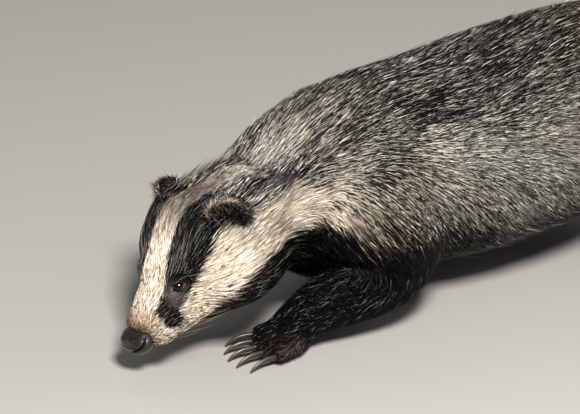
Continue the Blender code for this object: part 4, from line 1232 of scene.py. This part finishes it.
# Each piece of the coat is unwrapped by the form it grows on: along it, and round it.
TRUNK_PARTS = {"neck": (0, 0.20), "shoulder": (0.20, 0.31), "flank": (0.31, 0.42), "rump": (0.42, 1)}
main = weights.argmax(1)
for index, form in enumerate(FORMS):
    here = main == index
    groups = {}
    if form == "head":
        groups = {"coat_head_left": here & (own[:, 1] < 0), "coat_head_right": here & (own[:, 1] >= 0)}
    elif form == "trunk":
        for part, (low, high) in TRUNK_PARTS.items():
            span = here & (root[:, 0] >= low) & (root[:, 0] < high)
            groups[f"coat_{part}_left"] = span & (root[:, 1] < 0)
            groups[f"coat_{part}_right"] = span & (root[:, 1] >= 0)
    else:
        groups["coat_" + form] = here
    centre, tangent, _ = AXES[form]
    level_way = (1, 0, 0) if "leg" in form or form == "tail" else (0, 0, 1)
    for name, chosen in groups.items():
        nearest = np.argmin(((root[chosen][:, None] - centre[None]) ** 2).sum(2), axis=1)
        off = root[chosen] - centre[nearest]
        side_way = unit(np.cross(tangent[nearest], level_way))
        up_way = np.cross(side_way, tangent[nearest])
        round_it = np.arctan2((off * side_way).sum(1), (off * up_way).sum(1)) / (2 * np.pi) + 0.5
        run = shares[chosen, index] + ((off * tangent[nearest]).sum(1)) * 2
        patch = np.stack([run, round_it], 1)
        low, high = patch.min(0), patch.max(0)
        patch = 0.005 + 0.99 * (patch - low) / (high - low)
        made = tufts(
            name, root[chosen], normal[chosen], lie[chosen], length[chosen], width[chosen], lift[chosen],
            sway[chosen], colour[chosen], band[chosen], patch, hide_tree,
        )

# ---- The ears' hair ------------------------------------------------------------------------------
# Short black hair on the back of each ear, sparse dark hair inside, and the white fringe on the rim
# that every badger's ear carries. The tufts grow from the cup and point past its rim.
EAR_TUFTS, FRINGE_TUFTS, OUTER_TUFTS = 4600, 420, 2700
RIM_ROW = 9
for side, name in SIDES:
    turn, cup = ears[side]
    rows, total = len(EAR_PROFILE), EAR_TUFTS
    fringe = np.arange(total) < FRINGE_TUFTS
    inner = np.arange(total) > OUTER_TUFTS
    r = np.where(fringe, dice.uniform(6.5, 11.0, total), dice.random(total) * (rows - 2))
    r = np.where(inner, dice.uniform(12, rows - 2, total), r)
    t = dice.integers(0, EAR_STEPS, total)
    top_half = dice.integers(1, EAR_STEPS // 2, total)
    t = np.where(fringe, top_half, t)
    i = r.astype(int)
    f = (r - i)[:, None]
    here = cup[i, t] * (1 - f) + cup[i + 1, t] * f
    onward = unit(cup[i + 1, t] - cup[i, t])
    outer = i < RIM_ROW
    onward[~outer] *= -1
    around = unit(cup[i, (t + 1) % EAR_STEPS] - cup[i, t])
    away = unit(here - on_head(*EARS[side][0], side))
    up = unit(np.cross(around, onward))
    up *= (np.sign((up * away).sum(1)) * np.where(outer, 1, -1))[:, None]
    radial = unit(away - np.outer(away @ turn[:, 0], turn[:, 0]))
    sweep = side * around + 0.55 * radial + 0.25 * turn[:, 0]
    lie_here = np.where(fringe[:, None], sweep, onward + 0.35 * head_way((1, 0, 0)))
    inward = turn[:, 0] + 0.5 * turn[:, 2] + 0.4 * head_way((1, 0, 0))
    lie_here = np.where(inner[:, None], inward, lie_here)
    lie_here = unit(lie_here + 0.26 * dice.normal(size=(total, 3)))
    lie_here = unit(lie_here - up * (lie_here * up).sum(1, keepdims=True) * 0.7)
    ahead = 0.5 - 0.5 * np.cos(2 * np.pi * t / EAR_STEPS) * side
    size = np.where(fringe, 0.0085 - 0.0035 * ahead, np.where(outer, 0.0075, 0.0095))
    size *= dice.uniform(0.4, 1.4, total)
    tan = dice.uniform(0.0, 1.0, (total, 1))
    brown = 0.85 * smooth(0.60, 0.80, tan) * (1 - 0.75 * ahead[:, None])
    tint = np.where(outer[:, None], BLACK * 1.1, BLACK * (1 - brown) + linear("#857765") * brown)
    pale = CREAM * 0.85 * (1 - 0.8 * tan) + TAN * 0.8 * tan
    plain = 0.20 + 0.70 * (side < 0) * smooth(0.60, 0.85, ahead)
    pale = np.where((dice.random(total) < plain)[:, None], BLACK * 2, pale)
    tint = np.where(fringe[:, None], pale, tint)
    tint = tint * np.exp(0.25 * dice.normal(size=total))[:, None]
    made = tufts(
        "coat_ear_" + name, here - up * ROOT_DEPTH, up, lie_here, size,
        np.where(fringe, 0.00044, 0.00040), 0.0010 * dice.uniform(0.5, 1.7, total),
        dice.normal(0, 0.08, total), tint, np.zeros((total, 3)),
        np.stack([0.01 + 0.98 * r / rows, 0.01 + 0.98 * t / EAR_STEPS], 1),
    )

# ---- The dark bristles ---------------------------------------------------------------------------
# Single stiff black hairs that stand a little over the pale fur of cheeks and muzzle, in loose rows.
# Each is a short dark tuft rooted in the hide, like those of the coat.
chance = dice.random(count)
near_lip = (own[:, 0] < 0.055) & (own[:, 2] < 0.006)
wanted = np.where(near_lip, 0.045, 0.028) * (weights[:, 0] > 0.8) * (own[:, 0] < 0.115)
chosen = (chance < wanted * 0.7) & (colour.sum(1) > 0.6)
few = int(chosen.sum())
made = tufts(
    "coat_bristles", root[chosen], normal[chosen], lie[chosen], length[chosen] * 0.55,
    np.full(few, 0.00055), lift[chosen] + 0.0011, sway[chosen], np.repeat(BLACK[None], few, 0),
    np.zeros((few, 3)),
    np.stack([0.01 + 0.98 * own[chosen, 0] / 0.12, 0.5 + own[chosen, 1] / 0.16], 1), hide_tree,
)

# ---- The whiskers --------------------------------------------------------------------------------
# Stiff, springy whiskers in rows on the muzzle, and a few over each eye. Each is a thin tapered rod
# of horn, rooted in its pad, that sweeps out and back.
whisker_horn, tree, shader = new_material("whisker_springy_horn")
tipward = node(tree, "ShaderNodeAttribute", {"attribute_name": "reach"})
tint = node(tree, "ShaderNodeValToRGB", links={"Fac": tipward.outputs["Fac"]})
stops = tint.color_ramp.elements
stops[0].position, stops[0].color = 0.1, (*linear("#1b1613"), 1)
stops[1].position, stops[1].color = 0.9, (*linear("#8d8070"), 1)
tree.links.new(tint.outputs["Color"], shader.inputs["Base Color"])
shader.inputs["Roughness"].default_value = 0.35
WHISKER_HALF = 0.00022  # half its thickness at the root
rods, reaches = [], []
for side, _ in SIDES:
    # place back and up, and length: three rows on the muzzle and two whiskers over the eye
    spots = [
        (0.016 + 0.0055 * column, -0.0030 - 0.0032 * row, 0.020 + 0.004 * column)
        for row in range(3) for column in range(4)
    ]
    for back, up, size in (*spots, (0.056, 0.030, 0.020), (0.060, 0.030, 0.022)):
        back += dice.uniform(-0.001, 0.001)
        up += dice.uniform(-0.0008, 0.0008)
        if up > 0:
            start, way = on_head(back, 0.018, 0.06, side), -HEAD_AXES[:, 2]
            out = head_way((0.5, 0.7, 1.0), side)
        else:
            start, way = on_head(back, 0.06, up, side), head_way((0, -1, 0), side)
            out = head_way((0.35, 1.0, -0.25 + dice.uniform(-0.15, 0.15)), side)
        hit = hide_tree.ray_cast(Vector(start), Vector(way))
        base = np.array(hit[0])
        size *= dice.uniform(0.85, 1.15)
        rows = []
        for t in (0.0, 0.25, 0.5, 0.75, 1.0):
            bend = head_way((1, 0, -0.25), side) * (0.55 * size * t * t)
            half = WHISKER_HALF * (1 - 0.85 * t)
            rows.append((*(base + out * (size * t - 0.001) + bend), half, half, half))
        points, faces = loft(rows, 8, 5, head_way((0, 0, 1)), squareness=2.0, caps=1)
        rods.append((points, faces))
        far = np.linalg.norm(points - base, axis=1)
        reaches.append(far / far.max())
whiskers = piece("whiskers", rods, whisker_horn)
paint(whiskers.data, "reach", np.concatenate(reaches))
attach(whiskers, "root")

# ---- The room ------------------------------------------------------------------------------------
# A plain, pale painted floor, wide enough to fill the view, with broad soft studio lights.
FLOOR_HALF = 30
floor_mesh = bpy.data.meshes.new("floor")
corners = [(x * FLOOR_HALF, y * FLOOR_HALF, 0) for x, y in ((-1, -1), (1, -1), (1, 1), (-1, 1))]
floor_mesh.from_pydata(corners, [], [(0, 1, 2, 3)])
floor_paint, tree, shader = new_material("floor_matt_paint")
shader.inputs["Base Color"].default_value = (*linear("#96928b"), 1)
shader.inputs["Roughness"].default_value = 0.9
floor = add_object("floor", floor_mesh, floor_paint)

sky = bpy.data.worlds.new("studio")
bpy.context.scene.world = sky
sky.use_nodes = True
glow = sky.node_tree.nodes["Background"].inputs
glow["Color"].default_value = (*linear("#dfe3e8"), 1)
glow["Strength"].default_value = 0.24

CAMERA_AZIMUTH, CAMERA_RISE = math.radians(-36), math.radians(25)
CAMERA_FAR = 3.0
PICTURE = (580, 414)  # in pixels, as are the next two
FOCAL = 3900.0
NOSE_PIXEL = (134.0, 342.0)
SENSOR = 36
right_way = Vector((math.cos(CAMERA_AZIMUTH), math.sin(CAMERA_AZIMUTH), 0))
back_way = Vector((
    math.sin(CAMERA_AZIMUTH) * math.cos(CAMERA_RISE),
    -math.cos(CAMERA_AZIMUTH) * math.cos(CAMERA_RISE),
    math.sin(CAMERA_RISE),
))
up_way = back_way.cross(right_way)
eye_point = NOSE_TIP + to_frame + back_way * CAMERA_FAR
eye_point -= right_way * ((NOSE_PIXEL[0] - PICTURE[0] / 2) / FOCAL * CAMERA_FAR)
eye_point -= up_way * ((PICTURE[1] / 2 - NOSE_PIXEL[1]) / FOCAL * CAMERA_FAR)
camera = add_object("camera", bpy.data.cameras.new("camera"))
camera.data.sensor_width = SENSOR
camera.data.lens = FOCAL * SENSOR / PICTURE[0]
camera.data.clip_end = 100
aim = Matrix((right_way, up_way, back_way)).transposed()
camera.matrix_world = Matrix.Translation(eye_point) @ aim.to_4x4()
bpy.context.scene.camera = camera

LIT_SPOT = Vector((-0.1, 0, 0.09))  # what the lamps point at
for name, way, far, size, power in (
    # the way the lamp stands, how far off, its width and its power in watts
    ("key", back_way * 1.0 + up_way * 0.36 + right_way * 0.10, 2.2, 0.4, 114),
    ("fill", right_way * 1.0 + Vector((0, 0, 0.6)), 2.4, 1.6, 12),
    ("rim", -back_way * 0.7 + Vector((0, 0, 1.3)) - right_way * 0.3, 2.2, 1.2, 7),
):
    lamp = add_object(name, bpy.data.lights.new(name, "AREA"))
    lamp.data.size = size
    lamp.data.energy = power
    lamp.location = LIT_SPOT + way.normalized() * far
    lamp.rotation_mode = "QUATERNION"
    lamp.rotation_quaternion = way.to_track_quat("Z", "Y")
bpy.context.scene.view_settings.view_transform = "Standard"
